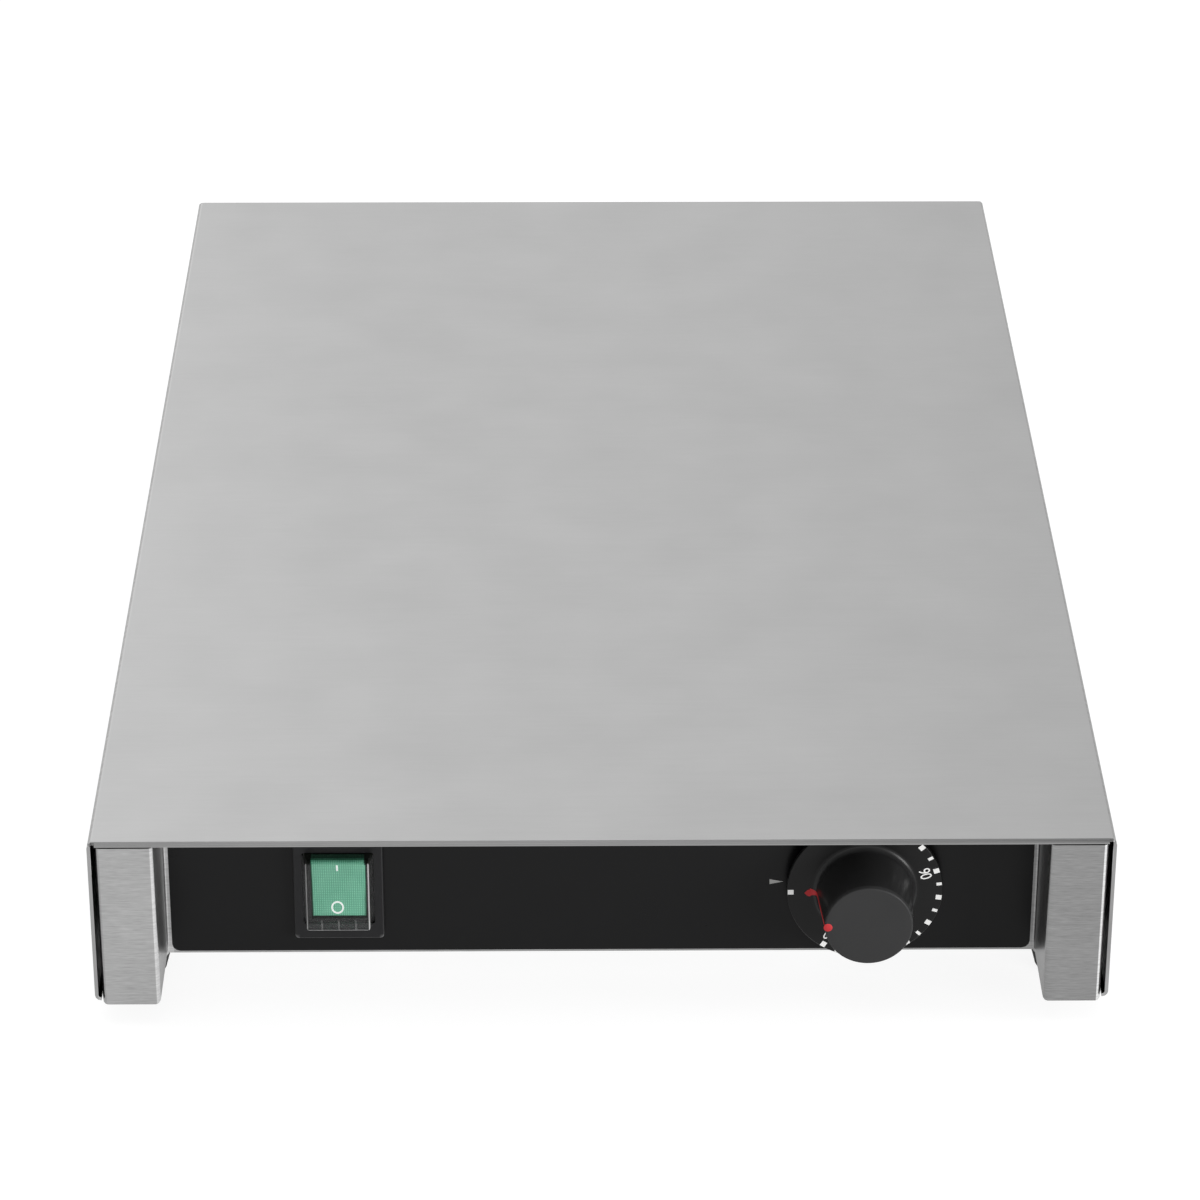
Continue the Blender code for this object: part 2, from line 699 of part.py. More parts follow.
def control_holes(sheet, start, end, screw_radius):
    """The openings for the switch, the spindle and the thermostat screws."""
    half_x = SWITCH_BODY_WIDTH / 2 + CLEARANCE
    half_z = SWITCH_BODY_HEIGHT / 2 + CLEARANCE
    opening = box(
        (SWITCH_X - half_x, start - OVERRUN, CONTROL_Z - half_z),
        (SWITCH_X + half_x, end + OVERRUN, CONTROL_Z + half_z),
    )
    cut(sheet, opening, "switch_opening")
    drill(sheet, "spindle_hole", SPINDLE_HOLE_RADIUS, "Y", start, end, (KNOB_X, CONTROL_Z))
    for number, x in enumerate(thermostat_screw_xs()):
        drill(sheet, f"screw_hole_{number}", screw_radius, "Y", start, end, (x, CONTROL_Z))


def slot(x, y, length, width):
    """A slot's outline with round ends, its length along the first axis."""
    half = length / 2 - width / 2
    right = arc_points((x + half, y), width / 2, -1, 1)
    left = arc_points((x - half, y), width / 2, 1, 3)
    return right + left


def rear_panel():
    panel = settle(end_panel("rear_panel"))
    panel.data.transform(Matrix.Rotation(math.pi, 4, "Z"))
    start, end = REAR_INNER_Y, -FASCIA_Y
    radius = GLAND_THREAD_RADIUS + CLEARANCE
    drill(panel, "gland_hole", radius, "Y", start, end, (GLAND_X, GLAND_Z), ROUND_SIDES)
    for row in range(REAR_VENT_COUNT):
        z = GLAND_Z + VENT_PITCH * (row - (REAR_VENT_COUNT - 1) / 2)
        for number, x in enumerate((REAR_VENT_X - VENT_LENGTH, REAR_VENT_X + VENT_PITCH)):
            vent = prism(slot(x, z, VENT_LENGTH, VENT_WIDTH), "Y", start - OVERRUN, end + OVERRUN)
            cut(panel, vent, f"vent_{row}_{number}")


def base_plate():
    """A shallow tray: floor sheet with a low flange along each side."""
    half_x = PANEL_HEM_X - BASE_SIDE_GAP - BASE_SHEET / 2
    middle_z = BASE_Z + BASE_SHEET / 2
    path = mirrored([(-half_x, middle_z + BASE_FLANGE), (-half_x, middle_z)])
    sheet = prism(folded_outline(path, BASE_SHEET, CHASSIS_BEND), "Y", -BASE_HALF_DEPTH, BASE_HALF_DEPTH)
    plate = add_object("base_plate", sheet, ZINC)
    holes = stud_places()[0] + base_screw_places() + [block_screw_place(), earth_place()]
    for number, place in enumerate(holes):
        drill(plate, f"hole_{number}", STUD_HOLE_RADIUS, "Z", BASE_Z, FLOOR_Z, place)
    for end in (-1, 1):
        for row in range(VENT_COUNT):
            y = end * BASE_VENT_OFFSET + VENT_PITCH * (row - (VENT_COUNT - 1) / 2)
            vent = prism(slot(0.0, y, VENT_LENGTH, VENT_WIDTH), "Z", BASE_Z - OVERRUN, FLOOR_Z + OVERRUN)
            cut(plate, vent, f"vent_{end}_{row}")


def base_screw_places():
    y = base_screw_y()
    return [(side * BASE_SCREW_X, end * y) for end in (1, -1) for side in (-1, 1)]


def block_screw_place():
    return (GLAND_X + BLOCK_SCREW_X, BLOCK_Y)


def earth_place():
    return (EARTH_X, REAR_INNER_Y - EARTH_SETBACK)


def screw(name, length):
    """A pan-head screw with a cross recess: the head's underside at the origin, the shank along +Z."""
    top = -SCREW_HEAD_HEIGHT
    edge = SCREW_HEAD_ROUND
    profile = [
        (0.0, top),
        *arc_points((SCREW_HEAD_RADIUS - edge, top + edge), edge, -1, 0, 2),
        (SCREW_HEAD_RADIUS, 0.0),
        (STUD_RADIUS, 0.0),
        (STUD_RADIUS, length),
        (0.0, length),
    ]
    made = add_object(name, turned(profile, SMALL_SIDES), ZINC)
    arms = [SCREW_RECESS_SPAN / 2, SCREW_RECESS_WIDTH / 2]
    for number, (half_x, half_y) in enumerate((arms, arms[::-1])):
        bar = box((-half_x, -half_y, top - OVERRUN), (half_x, half_y, top + SCREW_RECESS_DEPTH))
        cut(made, bar, f"recess_{number}")
    return settle(made)


def hex_nut(name, look, across_flats, bore_radius, height, sides=SMALL_SIDES):
    """A hexagon with a through bore, upright on the origin."""
    made = add_object(name, prism(hexagon(across_flats), "Z", 0.0, height), look)
    drill(made, "bore", bore_radius, "Z", 0.0, height, (0.0, 0.0), sides)
    return settle(made)


def corner_names(prefix):
    return [f"{prefix}_{end}_{side}" for end in ("front", "rear") for side in ("left", "right")]


def standoffs_and_nuts():
    corners, middles = stud_places()
    height = RETAINER_FLANGE_Z - CLEARANCE - FLOOR_Z - CLEARANCE
    names = corner_names("standoff")
    first = hex_nut(names[0], ZINC, HEX_ACROSS_FLATS, STUD_HOLE_RADIUS, height)
    first.location = (*corners[0], FLOOR_Z + CLEARANCE)
    for name, place in zip(names[1:], corners[1:]):
        copy_to(first, name, (*place, FLOOR_Z + CLEARANCE))
    nut_z = RETAINER_FLANGE_Z - CLEARANCE - NUT_HEIGHT
    nut = hex_nut("retainer_nut_left", ZINC, HEX_ACROSS_FLATS, STUD_HOLE_RADIUS, NUT_HEIGHT)
    nut.location = (*middles[0], nut_z)
    copy_to(nut, "retainer_nut_right", (*middles[1], nut_z))


def feet():
    """Rubber cones, each held by the screw that also ties the base to its standoff."""
    top_z = LEG_CLEAR - CLEARANCE
    outline = [
        (STUD_HOLE_RADIUS, FOOT_SOCKET_DEPTH),
        (FOOT_SOCKET_RADIUS, FOOT_SOCKET_DEPTH),
        (FOOT_SOCKET_RADIUS, 0.0),
        *arc_points((FOOT_BOTTOM_RADIUS - FOOT_EDGE, FOOT_EDGE), FOOT_EDGE, -1, 0),
        (FOOT_TOP_RADIUS, top_z),
        (FOOT_BOSS_RADIUS, top_z),
        (FOOT_BOSS_RADIUS, BASE_Z - CLEARANCE),
        (STUD_HOLE_RADIUS, BASE_Z - CLEARANCE),
    ]
    corners = stud_places()[0]
    names = corner_names("foot")
    first = add_object(names[0], turned(outline, ROUND_SIDES), RUBBER)
    first.location = (*corners[0], 0.0)
    for name, place in zip(names[1:], corners[1:]):
        copy_to(first, name, (*place, 0.0))

    head_z = FOOT_SOCKET_DEPTH - CLEARANCE
    names = corner_names("foot_screw")
    first = screw(names[0], FLOOR_Z - head_z + SCREW_GRIP)
    first.location = (*corners[0], head_z)
    for name, place in zip(names[1:], corners[1:]):
        copy_to(first, name, (*place, head_z))


def base_screws():
    head_z = FASCIA_BOTTOM_Z - CLEARANCE
    names = corner_names("base_screw")
    places = base_screw_places()
    first = screw(names[0], FLOOR_Z - head_z + SCREW_GRIP / 2)
    first.location = (*places[0], head_z)
    for name, place in zip(names[1:], places[1:]):
        copy_to(first, name, (*place, head_z))


def heated_stack():
    """Heating mat against the plate, insulation under it and the folded plate that holds both up."""
    width = HEATER_HALF_WIDTH
    mat = box((-width, HEATER_START_Y, HEATER_TOP_Z - HEATER_SHEET), (width, HEATER_END_Y, HEATER_TOP_Z))
    mat = add_object("heating_mat", mat, SILICONE)
    tail = box(
        (-HEATER_TAIL_WIDTH / 2, HEATER_START_Y, HEATER_TOP_Z - HEATER_TAIL_DROP),
        (HEATER_TAIL_WIDTH / 2, HEATER_START_Y + HEATER_SHEET, HEATER_TOP_Z - HEATER_SHEET / 2),
    )
    join(mat, tail, "tail")

    wool_y = HEATER_START_Y + HEATER_SHEET + CLEARANCE
    wool_z = INSULATION_TOP_Z - INSULATION_HEIGHT
    wool = add_object(
        "insulation", box((-width, wool_y, wool_z), (width, HEATER_END_Y, INSULATION_TOP_Z)), WOOL
    )
    bulb_half = BULB_RADIUS + CLEARANCE
    channel = box(
        (BULB_X - bulb_half, wool_y - OVERRUN, bulb_z() - bulb_half),
        (BULB_X + bulb_half, bulb_start_y() + BULB_LENGTH + CLEARANCE, INSULATION_TOP_Z + OVERRUN),
    )
    cut(wool, channel, "bulb_channel")

    mid = RETAINER_SHEET / 2
    flange_z = RETAINER_FLANGE_Z + mid
    floor_z = RETAINER_UNDER_Z + mid
    path = mirrored(
        [(-RETAINER_FLANGE_X, flange_z), (-RETAINER_HALF_WIDTH, flange_z), (-RETAINER_HALF_WIDTH, floor_z)]
    )
    end_y = REAR_INNER_Y - RETAINER_END_GAP
    hat = prism(folded_outline(path, RETAINER_SHEET, RETAINER_BEND), "Y", -end_y, end_y)
    hat = add_object("retaining_plate", hat, ZINC)
    relief_x = RETAINER_HALF_WIDTH + RETAINER_BEND
    relief = box(
        (-relief_x, -end_y - OVERRUN, RETAINER_UNDER_Z - OVERRUN),
        (relief_x, HEATER_START_Y - CLEARANCE, UNDER_TOP_Z + OVERRUN),
    )
    cut(hat, relief, "control_zone")
    corners, middles = stud_places()
    for number, place in enumerate(corners + middles):
        drill(hat, f"stud_hole_{number}", STUD_HOLE_RADIUS, "Z", RETAINER_FLANGE_Z, UNDER_TOP_Z, place)


def bulb_z():
    return INSULATION_TOP_Z - BULB_RADIUS


def bulb_start_y():
    return HEATER_START_Y + BULB_START


def control_label():
    low_z = FASCIA_BOTTOM_Z + LABEL_FOOT
    high_z = LEG_TOP_Z - LABEL_HEAD
    outline = rounded_rectangle(2 * LABEL_HALF_WIDTH, high_z - low_z, LABEL_CORNER)
    film = prism(moved(outline, 0.0, (low_z + high_z) / 2), "Y", LABEL_FRONT_Y, LABEL_BACK_Y)
    label = add_object("control_label", film, LABEL_BLACK)
    control_holes(label, LABEL_FRONT_Y, LABEL_BACK_Y, SCREW_HEAD_RADIUS + CLEARANCE)


def thermostat_screw_xs():
    return [KNOB_X + side * THERMOSTAT_SCREW_PITCH / 2 for side in (-1, 1)]


def tab(name, x, y, z):
    """A flat terminal that stands out backwards from a switch or thermostat."""
    blade = box(
        (x - TAB_WIDTH / 2, y + CLEARANCE, z - TAB_SHEET / 2),
        (x + TAB_WIDTH / 2, y + CLEARANCE + TAB_LENGTH, z + TAB_SHEET / 2),
    )
    add_object(name, blade, BRASS)


def tab_end_y(y):
    """Where a lead meets a terminal that stands on the face at y."""
    return y + CLEARANCE + TAB_LENGTH + CLEARANCE


def thermostat():
    half_x, half_z = THERMOSTAT_WIDTH / 2, THERMOSTAT_HEIGHT / 2
    case = box(
        (KNOB_X - half_x, THERMOSTAT_FRONT_Y, CONTROL_Z - half_z),
        (KNOB_X + half_x, THERMOSTAT_REAR_Y, CONTROL_Z + half_z),
    )
    round_edges(case, edges_along(case, 1), THERMOSTAT_EDGE)
    body = add_object("thermostat_body", case, PHENOLIC)
    start = THERMOSTAT_FRONT_Y - OVERRUN
    bores = [(KNOB_X, SPINDLE_RADIUS + CLEARANCE, SPINDLE_SEAT)]
    bores += [(x, STUD_HOLE_RADIUS, THERMOSTAT_SCREW_SHANK) for x in thermostat_screw_xs()]
    for number, (x, radius, depth) in enumerate(bores):
        bore = cylinder(radius, SMALL_SIDES, "Y", start, THERMOSTAT_FRONT_Y + depth, (x, CONTROL_Z))
        cut(body, bore, f"bore_{number}")
    head_y = FASCIA_Y - CLEARANCE
    length = THERMOSTAT_FRONT_Y + THERMOSTAT_SCREW_SHANK - CLEARANCE - head_y
    left_x, right_x = thermostat_screw_xs()
    facing_back = (-math.pi / 2, 0.0, 0.0)
    first = screw("thermostat_screw_left", length)
    first.location = (left_x, head_y, CONTROL_Z)
    first.rotation_euler = facing_back
    copy_to(first, "thermostat_screw_right", (right_x, head_y, CONTROL_Z), facing_back)

    tab_z = CONTROL_Z - THERMOSTAT_TAB_DROP
    for name, side in (("left", -1), ("right", 1)):
        tab_x = KNOB_X + side * THERMOSTAT_TAB_X
        tab(f"thermostat_terminal_{name}", tab_x, THERMOSTAT_REAR_Y, tab_z)


def sensor():
    """The bulb in its channel under the mat, and the capillary that joins it to the thermostat."""
    start_y = bulb_start_y()
    bulb = cylinder(BULB_RADIUS, SMALL_SIDES, "Y", start_y, start_y + BULB_LENGTH, (BULB_X, bulb_z()))
    add_object("sensor_bulb", bulb, COPPER)
    entry_z = CONTROL_Z + CAPILLARY_RISE
    entry_y = THERMOSTAT_REAR_Y + CLEARANCE
    drop = bulb_z() - entry_z
    run = KNOB_X - BULB_X
    turn_y = (HEATER_START_Y + entry_y) / 2
    points = [
        (BULB_X, start_y - CLEARANCE, bulb_z()),
        (BULB_X, (start_y + HEATER_START_Y) / 2, bulb_z()),
        (BULB_X, HEATER_START_Y, bulb_z()),
        (BULB_X + run / 8, turn_y, bulb_z() - drop / 8),
        (BULB_X + run / 3, turn_y, bulb_z() - drop / 2),
        (BULB_X + run * 2 / 3, turn_y, entry_z + drop / 8),
        (KNOB_X - run / 16, turn_y, entry_z),
        (KNOB_X, entry_y + (turn_y - entry_y) / 2, entry_z),
        (KNOB_X, entry_y, entry_z),
    ]
    tube("capillary_tube", points, CAPILLARY_RADIUS, COPPER)


def knob():
    """Skirt and tapered grip in one moulding, hollow behind round a central boss, with its spindle."""
    axis = bpy.data.objects.new("knob_axis", None)
    axis.location = (KNOB_X, SKIRT_BACK_Y, CONTROL_Z)
    axis.rotation_euler = (math.pi / 2, 0.0, 0.0)
    bpy.context.scene.collection.objects.link(axis)

    face = SKIRT_THICKNESS + GRIP_HEIGHT
    bore_radius = SPINDLE_RADIUS + CLEARANCE
    wall_base = GRIP_BASE_RADIUS - KNOB_WALL
    wall_face = GRIP_FACE_RADIUS - KNOB_WALL
    profile = [
        (0.0, KNOB_BORE_DEPTH),
        (bore_radius, KNOB_BORE_DEPTH),
        (bore_radius, 0.0),
        (KNOB_BOSS_RADIUS, 0.0),
        (KNOB_BOSS_RADIUS, KNOB_BORE_DEPTH),
        (wall_face, KNOB_BORE_DEPTH),
        (wall_base, 0.0),
        *arc_points((SKIRT_RADIUS - SKIRT_EDGE, SKIRT_EDGE), SKIRT_EDGE, -1, 0, 1),
        *arc_points((SKIRT_RADIUS - SKIRT_EDGE, SKIRT_THICKNESS - SKIRT_EDGE), SKIRT_EDGE, 0, 1, 2),
        *arc_points(
            (GRIP_BASE_RADIUS + GRIP_FILLET, SKIRT_THICKNESS + GRIP_FILLET), GRIP_FILLET, 3, 2
        ),
        *arc_points((GRIP_FACE_RADIUS - GRIP_EDGE, face - GRIP_EDGE), GRIP_EDGE, 0, 1),
        (0.0, face),
    ]
    cap = add_object("knob", turned(profile, KNOB_SIDES), KNOB_BLACK)
    cap.parent = axis

    front = KNOB_BORE_DEPTH - SPINDLE_END_GAP
    back = SKIRT_BACK_Y - (THERMOSTAT_FRONT_Y + SPINDLE_SEAT - SPINDLE_END_GAP)
    spindle = add_object(
        "thermostat_spindle", cylinder(SPINDLE_RADIUS, SMALL_SIDES, "Z", back, front), ZINC
    )
    spindle.parent = axis
    flat = box(
        (SPINDLE_RADIUS - SPINDLE_FLAT_DEPTH, -SPINDLE_RADIUS - OVERRUN, front - SPINDLE_FLAT_LENGTH),
        (SPINDLE_RADIUS + OVERRUN, SPINDLE_RADIUS + OVERRUN, front + OVERRUN),
    )
    cut(spindle, flat, "flat")
    spindle.modifiers["flat"].object.parent = axis


def switch_housing():
    half_x, half_z = SWITCH_BODY_WIDTH / 2, SWITCH_BODY_HEIGHT / 2
    bezel = rounded_rectangle(SWITCH_BEZEL_WIDTH, SWITCH_BEZEL_HEIGHT, FRAME_CORNER)
    plate = prism(moved(bezel, SWITCH_X, CONTROL_Z), "Y", BEZEL_FRONT_Y, BEZEL_BACK_Y)
    housing = add_object("switch_housing", plate, SWITCH_BLACK)
    body = box(
        (SWITCH_X - half_x, BEZEL_BACK_Y - SWITCH_BEZEL_SHEET / 2, CONTROL_Z - half_z),
        (SWITCH_X + half_x, SWITCH_REAR_Y, CONTROL_Z + half_z),
    )
    join(housing, body, "body")
    cavity_x = ROCKER_WIDTH / 2 + ROCKER_SIDE_GAP
    cavity = box(
        (SWITCH_X - cavity_x, BEZEL_FRONT_Y - OVERRUN, CONTROL_Z - SWITCH_CAVITY_HEIGHT / 2),
        (SWITCH_X + cavity_x, BEZEL_FRONT_Y + SWITCH_CAVITY_DEPTH, CONTROL_Z + SWITCH_CAVITY_HEIGHT / 2),
    )
    cut(housing, cavity, "cavity")
    for row, z in (("upper", CONTROL_Z + SWITCH_TAB_Z), ("lower", CONTROL_Z - SWITCH_TAB_Z)):
        for column, x in (("left", SWITCH_X - SWITCH_TAB_X), ("right", SWITCH_X + SWITCH_TAB_X)):
            tab(f"switch_terminal_{row}_{column}", x, SWITCH_REAR_Y, z)


def rocker():
    """The green rocker: a dished face, flanks that run in to a round keel, made about its pivot."""
    face = -ROCKER_PIVOT_DEPTH
    half = ROCKER_HALF_HEIGHT
    dish = [(face + ROCKER_DISH * (1.0 - share**2), half * share) for share in ROCKER_DISH_SHARES]
    spread = ROCKER_KEEL_SPREAD / (math.pi / 2)
    keel = arc_points((0.0, 0.0), ROCKER_KEEL_RADIUS, -spread, spread, BEND_STEPS + 1)
    outline = [*dish, (face + ROCKER_FLANK, -half), *keel, (face + ROCKER_FLANK, half)]
    block = prism(outline, "X", -ROCKER_WIDTH / 2, ROCKER_WIDTH / 2)
    rims = edges_along(block, 2, lambda middle: middle.y < face + ROCKER_DISH + CLEARANCE)
    ends = edges_along(block, 0, lambda middle: middle.y < face + CLEARANCE)
    round_edges(block, rims + ends, ROCKER_EDGE, 2)
    key = add_object("rocker", block, ROCKER_GREEN)
    key.location = (SWITCH_X, ROCKER_PIVOT_Y, CONTROL_Z)
    key.rotation_euler = (ROCKER_TILT, 0.0, 0.0)


def splash_guard():
    """The black frame over the switch bezel and the clear cap that it clamps."""
    frame_back = BEZEL_BACK_Y
    frame_front = frame_back - FRAME_DEPTH
    outline = moved(rounded_rectangle(FRAME_WIDTH, FRAME_HEIGHT, FRAME_CORNER), SWITCH_X, CONTROL_Z)
    plate = prism(outline, "Y", frame_front, frame_back)
    rim = [edge for edge in plate.edges if max(vert.co.y for vert in edge.verts) < frame_front + CLEARANCE]
    round_edges(plate, rim, FRAME_EDGE, 2)
    frame = add_object("splash_frame", plate, SWITCH_BLACK)
    pocket_front = frame_front + FRAME_FACE
    pocket = rounded_rectangle(
        SWITCH_BEZEL_WIDTH + 2 * CLEARANCE, SWITCH_BEZEL_HEIGHT + 2 * CLEARANCE, FRAME_CORNER + CLEARANCE
    )
    cut(frame, prism(moved(pocket, SWITCH_X, CONTROL_Z), "Y", pocket_front, frame_back + OVERRUN), "pocket")
    window = rounded_rectangle(CAP_ROOT_WIDTH + 2 * CLEARANCE, CAP_ROOT_HEIGHT + 2 * CLEARANCE, CAP_EDGE)
    window = prism(moved(window, SWITCH_X, CONTROL_Z), "Y", frame_front - OVERRUN, frame_back)
    cut(frame, window, "window")

    root_y = pocket_front + CLEARANCE
    flange_back = root_y + CAP_FLANGE
    front_y = frame_front - CAP_DEPTH
    cap = add_object("splash_cap", cap_shell(root_y, front_y, 0.0, CAP_EDGE), CLEAR)
    spread = 2 * CAP_FLANGE_SPREAD
    flange = rounded_rectangle(CAP_ROOT_WIDTH + spread, CAP_ROOT_HEIGHT + spread, FRAME_CORNER)
    join(cap, prism(moved(flange, SWITCH_X, CONTROL_Z), "Y", root_y, flange_back), "flange")
    inner = cap_shell(flange_back + OVERRUN, front_y + CAP_WALL, CAP_WALL, CAP_EDGE - CAP_WALL / 2)
    cut(cap, inner, "hollow")


def cap_shell(back_y, front_y, inset, edge):
    """A box drawn in towards the front, its front edges round."""
    root_y = BEZEL_BACK_Y - FRAME_DEPTH
    slope_x = (CAP_ROOT_WIDTH - CAP_FRONT_WIDTH) / 2 / CAP_DEPTH
    slope_z = (CAP_ROOT_HEIGHT - CAP_FRONT_HEIGHT) / 2 / CAP_DEPTH
    shell = box((-1, back_y, -1), (1, front_y, 1))
    for vert in shell.verts:
        reach = max(root_y - vert.co.y, 0.0)
        half_x = CAP_ROOT_WIDTH / 2 - slope_x * reach - inset
        half_z = CAP_ROOT_HEIGHT / 2 - slope_z * reach - inset
        vert.co.x = SWITCH_X + math.copysign(half_x, vert.co.x)
        vert.co.z = CONTROL_Z + math.copysign(half_z, vert.co.z)
    bmesh.ops.recalc_face_normals(shell, faces=shell.faces)
    edges = [edge for edge in shell.edges if min(vert.co.y for vert in edge.verts) < front_y + CLEARANCE]
    return round_edges(shell, edges, edge, 2)


def thermal_cutout():
    """A round cut-out on a plate against the retaining plate, with a terminal on each side."""
    y = HEATER_START_Y + CUTOUT_SETBACK
    top = RETAINER_UNDER_Z - CLEARANCE
    half_x, half_y = CUTOUT_PLATE_LENGTH / 2, CUTOUT_PLATE_WIDTH / 2
    plate = box((-half_x, y - half_y, top - CUTOUT_PLATE_SHEET), (half_x, y + half_y, top))
    cutout = add_object("thermal_cutout", plate, ZINC)
    can = cylinder(
        CUTOUT_RADIUS, ROUND_SIDES, "Z", top - CUTOUT_HEIGHT, top - CUTOUT_PLATE_SHEET / 2, (0.0, y)
    )
    join(cutout, can, "can")
    z = top - CUTOUT_TAB_DROP
    half_y, half_z = TAB_WIDTH / 2, TAB_SHEET / 2
    blade = box((-CUTOUT_TAB_REACH, y - half_y, z - half_z), (CUTOUT_TAB_REACH, y + half_y, z + half_z))
    join(cutout, blade, "terminals")


def cable_gland():
    """Body through the rear panel, seal in its mouth, dome nut outside and locknut inside."""
    outer_y = -FASCIA_Y + CLEARANCE
    hex_end = outer_y + GLAND_HEX_HEIGHT
    nose_end = hex_end + GLAND_NOSE_LENGTH
    thread_start = REAR_INNER_Y - GLAND_THREAD_INSIDE
    place = (GLAND_X, GLAND_Z)

    body = add_object(
        "cable_gland", prism(moved(hexagon(GLAND_HEX), *place), "Y", outer_y, hex_end), SWITCH_BLACK
    )
    mid_y = (outer_y + hex_end) / 2
    join(body, cylinder(GLAND_THREAD_RADIUS, ROUND_SIDES, "Y", thread_start, mid_y, place), "thread")
    join(body, cylinder(GLAND_NOSE_RADIUS, ROUND_SIDES, "Y", mid_y, nose_end, place), "nose")
    bore = cylinder(GLAND_BORE_RADIUS, ROUND_SIDES, "Y", thread_start - OVERRUN, nose_end + OVERRUN, place)
    cut(body, bore, "bore")
    seat_y = nose_end - SEAL_DEPTH
    cut(body, cylinder(SEAL_SEAT_RADIUS, ROUND_SIDES, "Y", seat_y, nose_end + OVERRUN, place), "seal_seat")

    outer, inner = SEAL_SEAT_RADIUS - CLEARANCE, SEAL_BORE_RADIUS
    ring = [(inner, 0.0), (outer, 0.0), (outer, SEAL_DEPTH - CLEARANCE), (inner, SEAL_DEPTH - CLEARANCE)]
    seal = turn_to(turned(ring, ROUND_SIDES), (0, 1, 0), (GLAND_X, seat_y + CLEARANCE, GLAND_Z))
    add_object("gland_seal", seal, RUBBER)

    length = DOME_NUT_LENGTH
    skirt_depth = GLAND_NOSE_LENGTH
    socket = GLAND_NOSE_RADIUS + CLEARANCE
    dome = [
        (socket, 0.0),
        (DOME_NUT_RADIUS, 0.0),
        *arc_points((DOME_NUT_RADIUS - DOME_ROUND, length - DOME_ROUND), DOME_ROUND, 0, 1),
        (DOME_MOUTH_RADIUS, length),
        (DOME_MOUTH_RADIUS, skirt_depth + CLEARANCE),
        (socket, skirt_depth + CLEARANCE),
    ]
    nut = turn_to(turned(dome, ROUND_SIDES), (0, 1, 0), (GLAND_X, hex_end + CLEARANCE, GLAND_Z))
    add_object("gland_dome_nut", nut, SWITCH_BLACK)

    bore_radius = GLAND_THREAD_RADIUS + CLEARANCE
    locknut = hex_nut("gland_locknut", SWITCH_BLACK, GLAND_HEX, bore_radius, LOCKNUT_HEIGHT, ROUND_SIDES)
    locknut.location = (GLAND_X, REAR_INNER_Y - CLEARANCE, GLAND_Z)
    locknut.rotation_euler = (math.pi / 2, 0.0, 0.0)


def terminal_block():
    """Three-pole block screwed to the floor in front of the gland, and the earth screw beside it."""
    bottom = FLOOR_Z + CLEARANCE
    half_x, half_y = BLOCK_WIDTH / 2, BLOCK_DEPTH / 2
    top = bottom + BLOCK_HEIGHT
    case = box((GLAND_X - half_x, BLOCK_Y - half_y, bottom), (GLAND_X + half_x, BLOCK_Y + half_y, top))
    round_edges(case, edges_along(case, 2), BLOCK_EDGE, 2)
    block = add_object("terminal_block", case, CREAM)
    for number, x in enumerate(block_poles()):
        for end, side in (("front", -1), ("rear", 1)):
            y = BLOCK_Y + side * half_y
            low_y, high_y = sorted((y - side * BLOCK_ENTRY_DEPTH, y + side * OVERRUN))
            entry = cylinder(BLOCK_ENTRY_RADIUS, SMALL_SIDES, "Y", low_y, high_y, (x, block_entry_z()))
            cut(block, entry, f"entry_{end}_{number}")
    x, y = block_screw_place()
    drill(block, "screw_hole", STUD_HOLE_RADIUS, "Z", bottom, top, (x, y))

    under = BASE_Z - CLEARANCE
    held = screw("terminal_block_screw", top - CLEARANCE - under)
    held.location = (x, y, under)
    x, y = earth_place()
    earth = screw("earth_screw", FLOOR_Z + SCREW_GRIP - under)
    earth.location = (x, y, under)
    nut = hex_nut("earth_nut", BRASS, HEX_ACROSS_FLATS, STUD_HOLE_RADIUS, NUT_HEIGHT)
    nut.location = (x, y, FLOOR_Z + CLEARANCE)


def block_poles():
    return [GLAND_X + BLOCK_PITCH * step for step in (-1, 0, 1)]


def block_entry_z():
    return FLOOR_Z + CLEARANCE + BLOCK_ENTRY_RISE


